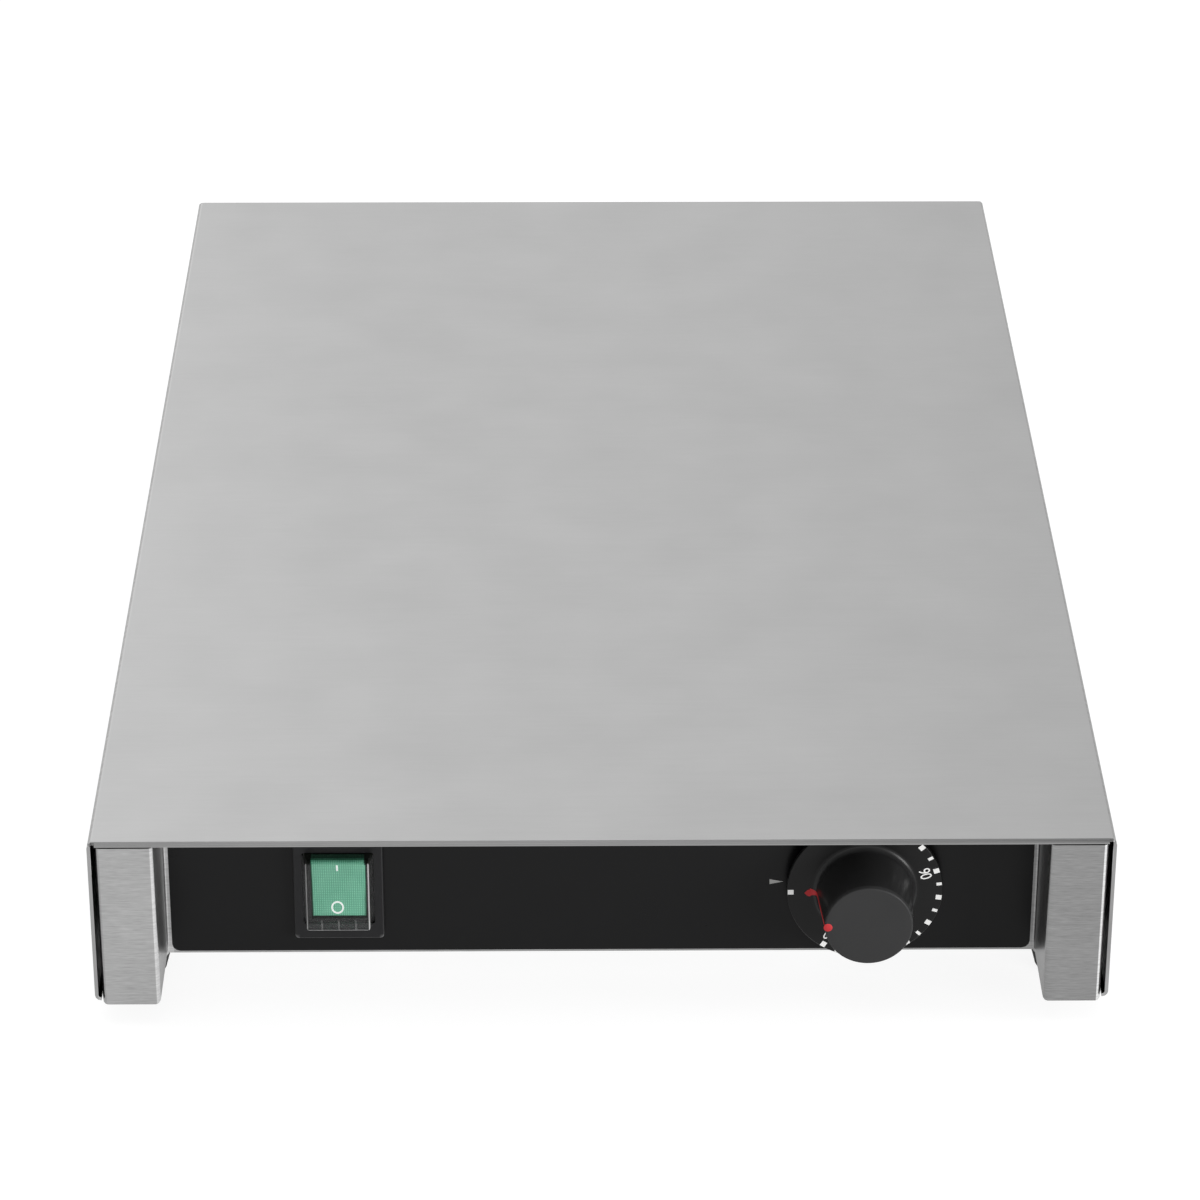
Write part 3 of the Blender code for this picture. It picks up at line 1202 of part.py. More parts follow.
def leads():
    """Silicone-covered leads from terminal to terminal, on the floor or under the retaining plate."""
    floor = FLOOR_Z + CLEARANCE + LEAD_RADIUS
    switch_y = tab_end_y(SWITCH_REAR_Y)
    thermostat_y = tab_end_y(THERMOSTAT_REAR_Y)
    upper_z, lower_z = CONTROL_Z + SWITCH_TAB_Z, CONTROL_Z - SWITCH_TAB_Z
    left_x, right_x = SWITCH_X - SWITCH_TAB_X, SWITCH_X + SWITCH_TAB_X
    stat_z = CONTROL_Z - THERMOSTAT_TAB_DROP
    stat_left, stat_right = KNOB_X - THERMOSTAT_TAB_X, KNOB_X + THERMOSTAT_TAB_X
    block_front = BLOCK_Y - BLOCK_DEPTH / 2
    entry_z = block_entry_z()
    live_x, neutral_x, earth_pole_x = block_poles()
    stub, step = LEAD_STUB, LEAD_STEP

    for name, pole_x, end_z, drift, look in (
        ("lead_live", live_x, upper_z, -1, LEAD_BROWN),
        ("lead_neutral", neutral_x, lower_z, 0, LEAD_BLUE),
    ):
        run_x = pole_x + drift * step / 2
        points = [
            (pole_x, block_front + BLOCK_ENTRY_DEPTH - CLEARANCE, entry_z),
            (pole_x, block_front - stub, entry_z),
            (pole_x + drift * step / 4, block_front - 2 * step, (entry_z + floor) / 2),
            (run_x, block_front - 4 * step, floor),
            (run_x, block_front / 2, floor),
            (run_x, 0.0, floor),
            (run_x, switch_y / 2, floor),
            (run_x, switch_y + 4 * step, floor),
            ((run_x + left_x) / 2, switch_y + 2 * step, (floor + end_z) / 2),
            (left_x, switch_y + stub, end_z),
            (left_x, switch_y, end_z),
        ]
        tube(name, points, LEAD_RADIUS, look)

    nut_x, nut_y = earth_place()
    nut_x -= HEX_ACROSS_FLATS / 2 / math.cos(math.pi / 6) + CLEARANCE
    points = [
        (earth_pole_x, block_front + BLOCK_ENTRY_DEPTH - CLEARANCE, entry_z),
        (earth_pole_x, block_front - stub, entry_z),
        (earth_pole_x + step / 2, block_front - 2 * stub, (entry_z + floor) / 2),
        ((earth_pole_x + nut_x) / 2, (block_front + nut_y) / 2 - 2 * stub, floor),
        (nut_x - stub, nut_y, floor),
        (nut_x, nut_y, floor),
    ]
    tube("lead_earth", points, LEAD_RADIUS, LEAD_GREEN)

    front_y = (switch_y + FASCIA_BACK_Y) / 2
    points = [
        (right_x, switch_y, upper_z),
        (right_x, switch_y + stub, upper_z),
        (right_x + step, switch_y + stub, upper_z),
        (right_x + 3 * step, switch_y, (upper_z + lower_z) / 2),
        (right_x + 6 * step, front_y, (lower_z + floor) / 2),
        (right_x + 10 * step, front_y, floor),
        (stat_left - 4 * step, front_y, floor),
        (stat_left - 2 * step, (front_y + thermostat_y) / 2, floor),
        (stat_left - step, thermostat_y + stub, floor),
        (stat_left - step / 4, thermostat_y + 2 * stub, (floor + stat_z) / 2),
        (stat_left, thermostat_y + stub, stat_z),
        (stat_left, thermostat_y, stat_z),
    ]
    tube("lead_switch_to_thermostat", points, LEAD_RADIUS, LEAD_BROWN)

    cutout_y = HEATER_START_Y + CUTOUT_SETBACK
    cutout_z = RETAINER_UNDER_Z - CLEARANCE - CUTOUT_TAB_DROP
    reach = CUTOUT_TAB_REACH + CLEARANCE
    points = [
        (stat_right, thermostat_y, stat_z),
        (stat_right, thermostat_y + stub, stat_z),
        (stat_right - step, thermostat_y + 2 * step, (3 * stat_z + cutout_z) / 4),
        (stat_right - 3 * step, (thermostat_y + cutout_y) / 2, (stat_z + cutout_z) / 2),
        (reach + 2 * step, cutout_y - stub, (stat_z + 3 * cutout_z) / 4),
        (reach + step, cutout_y, cutout_z),
        (reach, cutout_y, cutout_z),
    ]
    tube("lead_thermostat_to_cutout", points, LEAD_RADIUS, LEAD_BROWN)

    tail_x = HEATER_TAIL_WIDTH / 4
    tail_y = HEATER_START_Y - CLEARANCE
    tail_z = HEATER_TOP_Z - HEATER_TAIL_DROP / 2 - LEAD_RADIUS
    swing = RETAINER_UNDER_Z - CLEARANCE - 2 * LEAD_RADIUS
    points = [
        (-reach, cutout_y, cutout_z),
        (-reach - stub, cutout_y, cutout_z),
        (-reach - step, cutout_y - step, cutout_z),
        (-reach - step, cutout_y - 3 * step, cutout_z),
        (-tail_x - step, HEATER_START_Y - LEAD_RADIUS, swing),
        (-tail_x - step / 4, HEATER_START_Y - stub - LEAD_RADIUS, (swing + tail_z) / 2),
        (-tail_x, HEATER_START_Y - stub, tail_z),
        (-tail_x, tail_y, tail_z),
    ]
    tube("lead_cutout_to_heater", points, LEAD_RADIUS, LEAD_BROWN)

    points = [
        (right_x, switch_y, lower_z),
        (right_x, switch_y + stub, lower_z),
        (right_x + step, switch_y + 2 * stub, (lower_z + floor) / 2),
        (right_x + 4 * step, switch_y + 2 * stub, floor),
        (-tail_x, switch_y + 2 * stub, floor),
        (tail_x - step / 2, switch_y + stub, lower_z),
        (tail_x, HEATER_START_Y - stub - 2 * LEAD_RADIUS, swing - stub),
        (tail_x, HEATER_START_Y - stub, tail_z),
        (tail_x, tail_y, tail_z),
    ]
    tube("lead_neutral_to_heater", points, LEAD_RADIUS, LEAD_BLUE)


top_cover()
front_panel()
rear_panel()
base_plate()
standoffs_and_nuts()
feet()
base_screws()
heated_stack()
control_label()
thermostat()
sensor()
knob()
switch_housing()
rocker()
splash_guard()
thermal_cutout()
cable_gland()
terminal_block()
leads()
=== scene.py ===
import math

import bmesh
import bpy
from mathutils import Matrix, Vector


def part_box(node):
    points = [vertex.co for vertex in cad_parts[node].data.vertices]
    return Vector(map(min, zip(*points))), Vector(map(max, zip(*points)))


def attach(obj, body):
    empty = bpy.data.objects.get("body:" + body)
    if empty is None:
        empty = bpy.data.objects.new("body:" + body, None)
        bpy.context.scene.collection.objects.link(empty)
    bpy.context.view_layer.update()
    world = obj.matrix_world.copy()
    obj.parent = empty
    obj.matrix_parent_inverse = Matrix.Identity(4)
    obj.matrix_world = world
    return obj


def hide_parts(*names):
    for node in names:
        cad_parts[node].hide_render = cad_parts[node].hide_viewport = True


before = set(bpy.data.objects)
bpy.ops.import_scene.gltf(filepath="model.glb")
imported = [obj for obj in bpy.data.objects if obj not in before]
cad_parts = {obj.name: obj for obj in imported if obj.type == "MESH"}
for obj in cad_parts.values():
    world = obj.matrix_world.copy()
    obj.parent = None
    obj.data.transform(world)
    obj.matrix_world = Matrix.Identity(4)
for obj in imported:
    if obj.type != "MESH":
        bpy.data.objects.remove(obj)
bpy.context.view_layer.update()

# Base plate
# A shallow zinc-plated floor sheet with a flange along each side and two groups of vents.
# Two screws in front and two behind hold it to the flanges of the end panels.


class Wire:
    """A value that runs through a node tree, so that shader sums are written as sums."""

    def __init__(self, nodes, socket):
        self.nodes = nodes
        self.socket = socket

    def __add__(self, other):
        return self.nodes.math("ADD", self, other)

    def __sub__(self, other):
        return self.nodes.math("SUBTRACT", self, other)

    def __rsub__(self, other):
        return self.nodes.math("SUBTRACT", other, self)

    def __mul__(self, other):
        return self.nodes.math("MULTIPLY", self, other)

    __radd__ = __add__
    __rmul__ = __mul__


class Nodes:
    """A node tree that is filled through one method."""

    def __init__(self, tree):
        self.tree = tree

    def add(self, kind, settings, sockets, output=0):
        """Any node: its type, its settings, then the values or wires of its sockets."""
        node = self.tree.nodes.new(kind)
        for name, value in settings.items():
            setattr(node, name, value)
        for socket, value in sockets.items():
            if isinstance(value, Wire):
                self.tree.links.new(value.socket, node.inputs[socket])
            else:
                node.inputs[socket].default_value = value
        return Wire(self, node.outputs[output])

    def math(self, operation, *values):
        """One sum on wires or numbers."""
        return self.add("ShaderNodeMath", {"operation": operation}, dict(enumerate(values)))


class Finish(Nodes):
    """A material round one Principled shader. Constants are set on the shader's own sockets."""

    def __init__(self, name, **constants):
        self.material = bpy.data.materials.new(name)
        self.material.use_nodes = True
        super().__init__(self.material.node_tree)
        self.shader = self.tree.nodes["Principled BSDF"]
        for socket, value in constants.items():
            self.shader.inputs[socket.replace("_", " ")].default_value = value
        self.place = self.add("ShaderNodeTexCoord", {}, {}, "Object")

    def drive(self, **wires):
        """Links wires to the shader's sockets of these names."""
        for socket, wire in wires.items():
            self.tree.links.new(wire.socket, self.shader.inputs[socket.replace("_", " ")])

    def grain(self, stretch, detail=2.0):
        """Noise from 0 to 1 that changes so many times a metre along X, Y and Z."""
        place = self.add("ShaderNodeVectorMath", {"operation": "MULTIPLY"}, {0: self.place, 1: stretch})
        return self.add("ShaderNodeTexNoise", {}, {"Vector": place, "Scale": 1.0, "Detail": detail})

    def axis(self, index):
        """One coordinate of the place: 0 for X, 1 for Y, 2 for Z."""
        return self.add("ShaderNodeSeparateXYZ", {}, {0: self.place}, index)

    def distance(self, value, centre=0.0):
        """How far the value is from a centre, on either side."""
        return self.math("ABSOLUTE", value - centre)

    def above(self, value, limit):
        """1 where the value is over the limit, otherwise 0."""
        return self.math("GREATER_THAN", value, limit)

    def tint(self, share, low, high):
        """A colour between two."""
        ends = {0: share, 6: (*low, 1.0), 7: (*high, 1.0)}
        return self.add("ShaderNodeMix", {"data_type": "RGBA"}, ends, 2)

    def shade(self, colour, share):
        """A colour made darker by a share that runs over the piece."""
        return self.add("ShaderNodeVectorMath", {"operation": "SCALE"}, {0: colour, "Scale": share})

    def relief(self, height, depth):
        """The surface as if the height, from 0 to 1, stood up by a depth in metres."""
        return self.add("ShaderNodeBump", {}, {"Strength": 1.0, "Distance": depth, "Height": height})


def zinc_plate():
    """Bright zinc with a faint cloudy spangle."""
    finish = Finish("zinc_plate", Metallic=1.0)
    cloud = finish.grain((120.0, 120.0, 120.0), 4.0)
    fine = finish.grain((900.0, 900.0, 900.0))
    finish.drive(
        Base_Color=finish.tint(cloud, (0.50, 0.51, 0.52), (0.66, 0.67, 0.69)),
        Roughness=0.30 + cloud * 0.16,
        Normal=finish.relief(fine, 0.00001),
    )
    return finish.material


def dress(material, *nodes):
    """Gives CAD nodes that stay as they are their finish."""
    for node in nodes:
        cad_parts[node].material_slots[0].material = material


SMOOTH = math.radians(38.0)


def merged(node, name, body, material, break_edge=0.0):
    """A CAD sheet again, its triangles merged into whole faces and its cut edges just broken."""
    bm = bmesh.new()
    bm.from_mesh(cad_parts[node].data)
    bmesh.ops.remove_doubles(bm, verts=bm.verts, dist=0.000002)
    bmesh.ops.dissolve_limit(bm, angle_limit=math.radians(0.5), verts=bm.verts, edges=bm.edges)
    piece = finished(bm, name, body, material)
    if break_edge:
        edge = piece.modifiers.new("broken_edges", "BEVEL")
        edge.width = break_edge
        edge.segments = 2
        edge.limit_method = "ANGLE"
        edge.angle_limit = math.radians(50.0)
        edge.harden_normals = True
    level = piece.modifiers.new("flat_faces", "WEIGHTED_NORMAL")
    level.keep_sharp = True
    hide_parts(node)


def finished(bm, name, body, material):
    """The object for a mesh that is already in its place."""
    mesh = bpy.data.meshes.new(name)
    bm.to_mesh(mesh)
    bm.free()
    mesh.materials.clear()
    mesh.materials.append(material)
    mesh.shade_smooth()
    mesh.set_sharp_from_angle(angle=SMOOTH)
    piece = bpy.data.objects.new(name, mesh)
    bpy.context.scene.collection.objects.link(piece)
    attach(piece, body)
    return piece


corners = [f"{end}_{side}" for end in ("front", "rear") for side in ("left", "right")]
zinc = zinc_plate()
merged("base_plate", "floor_sheet", "tray", zinc)
dress(zinc, *[f"base_screw_{corner}" for corner in corners])

# End panels
# Each is one folded sheet of brushed stainless steel: two legs, their return walls and a recessed fascia.
# The front one carries the controls, the rear one the vents and the cable gland.


def brushed_steel(name, tone, contrast, streaks, stretch, fine_stretch, depth, painted_shading):
    """Stainless steel with brush lines along the directions that change least, over a faint cloudiness. Its
    colour is scaled by painted light and shade that the last argument gives.
    """
    finish = Finish(name, Metallic=1.0)
    line = finish.grain(stretch, 3.0)
    hair = finish.grain(fine_stretch, 2.0)
    cloud = finish.grain((26.0, 26.0, 26.0), 3.0)
    share = (line * 0.4 + hair * 0.6) * streaks + cloud * (1.0 - streaks)
    low = [tone * (1.0 - contrast)] * 3
    high = [tone * (1.0 + contrast)] * 3
    finish.drive(
        Base_Color=finish.shade(finish.tint(share, low, high), painted_shading(finish)),
        Roughness=0.27 + line * (streaks * 0.10) + cloud * 0.04,
        Normal=finish.relief(hair + line * 0.5, depth),
    )
    return finish.material


def fold_painted_light(finish):
    """Painted light on the end panels: painted highlights on bends that turn to the right, on the left leg's
    inner bend and at the fascia's left border; painted shade on bends that turn to the left and on the
    return walls; and a painted falloff, lighter towards the left.
    """
    leg_face, fascia = 0.2733, 0.2470
    x, out_y = finish.axis(0), finish.distance(finish.axis(1))
    leg = finish.above(out_y, leg_face)
    recess = finish.above(fascia, out_y)
    right_bend = leg * finish.above(x, 0.16845)
    left_bend = leg * finish.above(-0.16860, x)
    inner_bend = leg * finish.above(x, -0.15155) * finish.above(-0.1490, x)
    wall_foot = recess * finish.above(-0.1480, x)
    between = finish.above(out_y, fascia) * finish.above(leg_face, out_y)
    wall = finish.above(0.1516, finish.distance(x)) * between
    # painted highlights on the right-turning bends, the left leg's inner bend and the fascia's left border;
    # painted shade on the left-turning bends
    painted_bend_highlight = right_bend * 1.15 + inner_bend * 0.55 + wall_foot * 0.32 - left_bend * 0.16
    # painted shade on the return walls, deepest towards the bottom
    painted_wall_shade = wall * (1.10 - finish.axis(2) * 27.5)
    # painted falloff across the panel, lighter towards the left
    return (0.84 - x * 0.9 + painted_bend_highlight) * (1.0 - painted_wall_shade)


# the folded steel's tone is set darker than the cover's, as painted shade on its front-facing faces
folded = brushed_steel(
    "folded_steel", 0.38, 0.55, 0.80, (90.0, 90.0, 1500.0), (240.0, 240.0, 2800.0), 0.00003, fold_painted_light
)
merged("front_panel", "front_fold", "tray", folded, 0.00012)
merged("rear_panel", "rear_fold", "tray", folded, 0.00012)

# Cable gland
# A black polyamide gland in the rear panel: a hexagon body with a rubber seal and a domed nut outside.
# A locknut inside the panel holds it.


def moulded(name, dark, light, roughness, specular=0.5, bump=0.000006, pitch=1800.0):
    """Moulded plastic or rubber with a fine spark-eroded skin and a faint cloudiness."""
    finish = Finish(name, Specular_IOR_Level=specular)
    skin = finish.grain((pitch, pitch, pitch), 2.0)
    cloud = finish.grain((60.0, 60.0, 60.0), 2.0)
    finish.drive(
        Base_Color=finish.tint(cloud * 0.6 + skin * 0.4, dark, light),
        Roughness=roughness - 0.06 + cloud * 0.12,
        Normal=finish.relief(skin, bump),
    )
    return finish.material


def turned(profile, sides, direction, place):
    """A (radius, height) line turned about an axis and set in its place."""
    bm = bmesh.new()
    verts = [bm.verts.new((radius, 0.0, height)) for radius, height in profile]
    edges = [bm.edges.new(pair) for pair in zip(verts, verts[1:])]
    bmesh.ops.spin(
        bm, geom=verts + edges, axis=(0, 0, 1), cent=(0, 0, 0), angle=math.tau, steps=sides, use_merge=True
    )
    bmesh.ops.remove_doubles(bm, verts=bm.verts, dist=0.000001)
    turn = Vector((0, 0, 1)).rotation_difference(Vector(direction)).to_matrix().to_4x4()
    bmesh.ops.transform(bm, matrix=Matrix.Translation(place) @ turn, verts=bm.verts)
    bmesh.ops.recalc_face_normals(bm, faces=bm.faces)
    return bm


def arc(centre, radius, start, end, steps=6):
    """Points of an arc on a profile, its angles in quarter turns."""
    points = []
    for step in range(steps + 1):
        angle = math.pi / 2 * (start + (end - start) * step / steps)
        points.append((centre[0] + radius * math.cos(angle), centre[1] + radius * math.sin(angle)))
    return points


gland_black = moulded("gland_black", (0.012, 0.012, 0.013), (0.022, 0.022, 0.023), 0.42)
seal_rubber = moulded("seal_rubber", (0.014, 0.014, 0.014), (0.026, 0.026, 0.025), 0.75)
dress(gland_black, "cable_gland", "gland_locknut")
dress(seal_rubber, "gland_seal")
low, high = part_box("gland_dome_nut")
nut_radius = (high.x - low.x) / 2
nut_length = high.y - low.y
thread, thread_depth, mouth, straight, crown = 0.0083, 0.0088, 0.0052, 0.0050, 0.0038
dome = [
    (thread, 0.0),
    (nut_radius, 0.0),
    (nut_radius, straight),
    *arc((nut_radius - crown, nut_length - crown), crown, 0, 1, 8),
    (mouth, nut_length),
    (mouth, thread_depth),
    (thread, thread_depth),
    (thread, 0.0),
]
bm = turned(dome, 48, (0, 1, 0), ((low.x + high.x) / 2, low.y, (low.z + high.z) / 2))
dome_nut = finished(bm, "dome_nut", "tray", gland_black)
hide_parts("gland_dome_nut")

# Feet
# Four black rubber cones under the legs, each with a socket for the screw that holds it.
# The same screws tie the base plate to the standoffs above.

foot_rubber = moulded("foot_rubber", (0.012, 0.012, 0.012), (0.024, 0.024, 0.023), 0.80, 0.35)
hole, socket, socket_depth, boss = 0.0023, 0.0046, 0.0042, 0.0055
tip, tip_round, shoulder, shoulder_height = 0.0073, 0.0009, 0.0102, 0.0082
for corner in corners:
    low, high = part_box(f"foot_{corner}")
    centre = ((low.x + high.x) / 2, (low.y + high.y) / 2, 0.0)
    cone = [
        (hole, socket_depth),
        (socket, socket_depth),
        (socket, 0.0),
        *arc((tip, tip_round), tip_round, -1, 0),
        (shoulder, shoulder_height),
        (boss, shoulder_height),
        (boss, high.z),
        (hole, high.z),
        (hole, socket_depth),
    ]
    bm = turned(cone, 64, (0, 0, 1), centre)
    foot = finished(bm, f"rubber_foot_{corner}", "tray", foot_rubber)
    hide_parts(f"foot_{corner}")
dress(zinc, *[f"foot_screw_{corner}" for corner in corners])

# Control label
# A black plastic film with round corners, stuck on the recessed fascia.
# One pale pointer beside the dial is printed on it.

label_black = (0.0042, 0.0042, 0.0045), (0.0058, 0.0058, 0.0062)
label_film = moulded("label_film", *label_black, 0.30, 0.16, 0.000001)
merged("control_label", "label_sheet", "tray", label_film)


def ink(name, colour, painted_glow=0.0):
    """Opaque printing ink with a slightly uneven film. A painted glow, where given, makes the dial's and the
    rocker's print bright in the shaded recess.
    """
    # painted glow: emission that stands in for light on the print
    finish = Finish(name, Roughness=0.55, Emission_Color=(*colour, 1.0), Emission_Strength=painted_glow)
    cloud = finish.grain((700.0, 700.0, 700.0))
    finish.drive(Base_Color=finish.tint(cloud, [value * 0.92 for value in colour], colour))
    return finish.material


def extruded(bm, face):
    """Extrudes a face and gives the vertices of its far end."""
    pushed = bmesh.ops.extrude_face_region(bm, geom=[face])["geom"]
    return [item for item in pushed if isinstance(item, bmesh.types.BMVert)]


def flat_print(points, thickness):
    """A closed outline in XZ as a thin plate whose back lies at y = 0, facing -Y."""
    bm = bmesh.new()
    face = bm.faces.new([bm.verts.new((x, -thickness, z)) for x, z in points])
    bmesh.ops.translate(bm, vec=(0.0, thickness, 0.0), verts=extruded(bm, face))
    bmesh.ops.recalc_face_normals(bm, faces=bm.faces)
    return bm


label_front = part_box("control_label")[0].y
pale_ink = ink("pale_ink", (0.80, 0.80, 0.78))
pointer = [(0.0578, 0.03665), (0.0578, 0.0386), (0.0625, 0.03762)]
bm = flat_print(pointer, 0.00005)
bmesh.ops.translate(bm, vec=(0.0, label_front, 0.0), verts=bm.verts)
finished(bm, "dial_pointer", "tray", pale_ink)

# Switch
# A black snap-in rocker switch behind the fascia. The green rocker tilts about a level axis
# and is marked with a stroke at the top and a ring at the bottom.

switch_black = moulded("switch_black", (0.007, 0.007, 0.008), (0.013, 0.013, 0.014), 0.36, 0.24, 0.000001)
brass_finish = Finish("brass_tab", Metallic=1.0, Roughness=0.34)
wear = brass_finish.grain((500.0, 500.0, 60.0), 3.0)
brass_finish.drive(Base_Color=brass_finish.tint(wear, (0.60, 0.44, 0.18), (0.78, 0.62, 0.32)))
brass = brass_finish.material
dress(switch_black, "switch_housing")
tabs = [f"switch_terminal_{row}_{side}" for row in ("upper", "lower") for side in ("left", "right")]
dress(brass, *tabs)


def rocker_green():
    """Green translucent plastic with a faint painted glow that stands in for light, and a fine grid moulded
    in its face.
    """
    # painted glow: a faint emission brightens the rocker in the shade of the overhang
    painted_rocker_glow = {"Emission_Color": (0.10, 0.50, 0.28, 1.0), "Emission_Strength": 0.12}
    finish = Finish("rocker_green", Roughness=0.30, **painted_rocker_glow)
    pitch = math.tau / 0.00074
    across = finish.math("SINE", finish.axis(0) * pitch)
    along = finish.math("SINE", finish.axis(2) * pitch)
    grid = finish.math("MINIMUM", across, along) * 0.5 + 0.5
    cloud = finish.grain((160.0, 160.0, 160.0), 2.0)
    share = grid * 0.75 + cloud * 0.25
    finish.drive(
        Base_Color=finish.tint(share, (0.056, 0.28, 0.175), (0.345, 0.81, 0.58)),
        Normal=finish.relief(grid, 0.00002),
    )
    return finish.material


SWITCH_X, SWITCH_Z = -0.0903, 0.0375
ROCKER_HALF, ROCKER_FACE, ROCKER_DISH = 0.0119, -0.0070, 0.0010
pivot = Vector((SWITCH_X, -0.2396, SWITCH_Z))
tilt = Matrix.Rotation(math.radians(8.0), 4, "X")


def dished(share):
    """How far back the rocker's face lies, at a share of its half height from the middle."""
    return ROCKER_FACE + ROCKER_DISH * (1.0 - share**2)


def rocker_block():
    """The rocker about its pivot: a dished face, flanks that run in and a round keel."""
    half, half_width, keel_radius = ROCKER_HALF, 0.0092, 0.0040
    flank = ROCKER_FACE + 0.0045
    shares = [1.0 - step / 8 for step in range(17)]
    points = [(dished(share), half * share) for share in shares]
    keel = arc((0.0, 0.0), keel_radius, -2 / 3, 2 / 3, 8)
    outline = [*points, (flank, -half), *keel, (flank, half)]
    bm = bmesh.new()
    side = bm.faces.new([bm.verts.new((-half_width, y, z)) for y, z in outline])
    bmesh.ops.translate(bm, vec=(2 * half_width, 0.0, 0.0), verts=extruded(bm, side))
    bmesh.ops.recalc_face_normals(bm, faces=bm.faces)
    rims = []
    for edge in bm.edges:
        middle = (edge.verts[0].co + edge.verts[1].co) / 2
        run = edge.verts[1].co - edge.verts[0].co
        at_face = middle.y < ROCKER_FACE + ROCKER_DISH + 0.0002
        if at_face and (abs(run.x) < 0.001 or abs(abs(middle.z) - half) < 0.0001):
            rims.append(edge)
    round_off = {"offset": 0.0005, "offset_type": "OFFSET", "segments": 4, "profile": 0.5}
    bmesh.ops.bevel(bm, geom=rims, affect="EDGES", material=-1, **round_off)
    return bm


bm = rocker_block()
bmesh.ops.transform(bm, matrix=Matrix.Translation(pivot) @ tilt, verts=bm.verts)
key = finished(bm, "rocker_key", "rocker_key", rocker_green())
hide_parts("rocker")

# Rocker marks
# A white stroke for on and a white ring for off.
# Both are printed on the face of the rocker and turn with it.

mark_ink = ink("mark_ink", (0.88, 0.92, 0.89), 0.35)


def on_rocker(bm, rise):
    """Sets a mark made at the origin on the dished face, at a height above the pivot."""
    slope = math.atan(-2.0 * ROCKER_DISH * rise / ROCKER_HALF**2)
    spot = (0.0, dished(rise / ROCKER_HALF) - 0.00001, rise)
    lay = Matrix.Translation(spot) @ Matrix.Rotation(-slope, 4, "X")
    bmesh.ops.transform(bm, matrix=Matrix.Translation(pivot) @ tilt @ lay, verts=bm.verts)
    return bm


def ring(radius, width, sides=48):
    """A flat ring in XZ, facing -Y."""
    bm = bmesh.new()
    verts = [bm.verts.new((radius + side * width / 2, -0.00005, 0.0)) for side in (-1, 1)]
    edge = bm.edges.new(verts)
    bmesh.ops.spin(
        bm, geom=[*verts, edge], axis=(0, 1, 0), cent=(0, 0, 0), angle=math.tau, steps=sides, use_merge=True
    )
    bmesh.ops.remove_doubles(bm, verts=bm.verts, dist=0.000001)
    bmesh.ops.solidify(bm, geom=bm.faces[:], thickness=0.00005)
    bmesh.ops.recalc_face_normals(bm, faces=bm.faces)
    return bm


def square(length, width):
    """A rectangle about the origin, as a closed outline."""
    x, z = length / 2, width / 2
    return [(-x, -z), (x, -z), (x, z), (-x, z)]


stroke = flat_print(square(0.00064, 0.0028), 0.00006)
bmesh.ops.translate(stroke, vec=(-0.0003, 0.0, 0.0), verts=stroke.verts)
finished(on_rocker(stroke, 0.0092), "mark_on", "rocker_key", mark_ink)
circle = ring(0.0020, 0.0006)
bmesh.ops.scale(circle, vec=(0.95, 1.0, 1.12), verts=circle.verts)
bmesh.ops.translate(circle, vec=(-0.0006, 0.0, 0.0), verts=circle.verts)
finished(on_rocker(circle, -0.0083), "mark_off", "rocker_key", mark_ink)

# Splash guard
# A black plastic frame clamps a clear moulded cap over the rocker.
# The cap keeps water out, so that the rocker can be worked with wet hands.


def frame_black():
    """The switch's black plastic again, with a painted highlight along the frame's outer edges and a
    brighter one at its corners.
    """
    finish = Finish("frame_black", Specular_IOR_Level=0.24)
    skin = finish.grain((900.0, 900.0, 900.0), 2.0)
    out_x = finish.distance(finish.axis(0), SWITCH_X)
    out_z = finish.distance(finish.axis(2), SWITCH_Z)
    # painted highlight: a pale band along the outer edges and soft spots at the corners
    edge = finish.math("MAXIMUM", finish.above(out_x, 0.01500), finish.above(out_z, 0.01980))
    near_side = finish.math("MAXIMUM", out_x - 0.0136, 0.0)
    near_end = finish.math("MAXIMUM", out_z - 0.0184, 0.0)
    painted_edge_highlight = edge * 0.16 + near_side * near_end * 700000.0
    finish.drive(
        Base_Color=finish.tint(painted_edge_highlight + skin * 0.02, (0.006, 0.006, 0.007), (0.160, 0.160, 0.162)),
        Roughness=0.34 + skin * 0.06,
    )
    return finish.material


merged("splash_frame", "guard_frame", "tray", frame_black())


def clear_cap():
    """Clear plastic, with a painted highlight along the side and bottom edges of its face, whiter at three
    flow lines, and painted shade over its roof.
    """
    finish = Finish("clear_cap", Roughness=0.06, Specular_IOR_Level=0.22)
    x, y, z = (finish.axis(index) for index in range(3))
    out_x = finish.distance(x, SWITCH_X)
    side = finish.above(out_x, 0.01042)
    foot = finish.above(SWITCH_Z - z, 0.01295)
    low = finish.above(SWITCH_Z - z, 0.0090)
    front = finish.above(-0.2530, y)
    rear = finish.above(y, -0.2500)
    crown = finish.above(z, 0.0501)
    roof = crown - crown * front
    lines = [SWITCH_X + offset for offset in (-0.0056, 0.0002, 0.0060)]
    rib = sum(finish.above(0.00030, finish.distance(x, line)) for line in lines)
    haze = finish.grain((300.0, 300.0, 300.0), 2.0)
    # painted highlight along the side and bottom edges of the face
    edges = finish.math("MAXIMUM", side, foot) * 0.60
    see = 0.012 + edges * front + rib * low * front * 0.13 + haze * 0.012
    # painted shade over the roof, darker behind the front and at its sides
    dark = roof * (0.10 + rear * 0.55 + finish.above(out_x, 0.0092) * 0.6)
    finish.drive(
        # the roof is tinted near black as painted shade
        Base_Color=finish.tint(roof, (0.86, 0.86, 0.86), (0.010, 0.012, 0.010)),
        Alpha=see + dark,
    )
    return finish.material


merged("splash_cap", "clear_cap", "tray", clear_cap())

# Thermostat
# A capillary thermostat in a brown phenolic case, held behind the fascia by two screws.
# Its flatted steel spindle carries the knob.

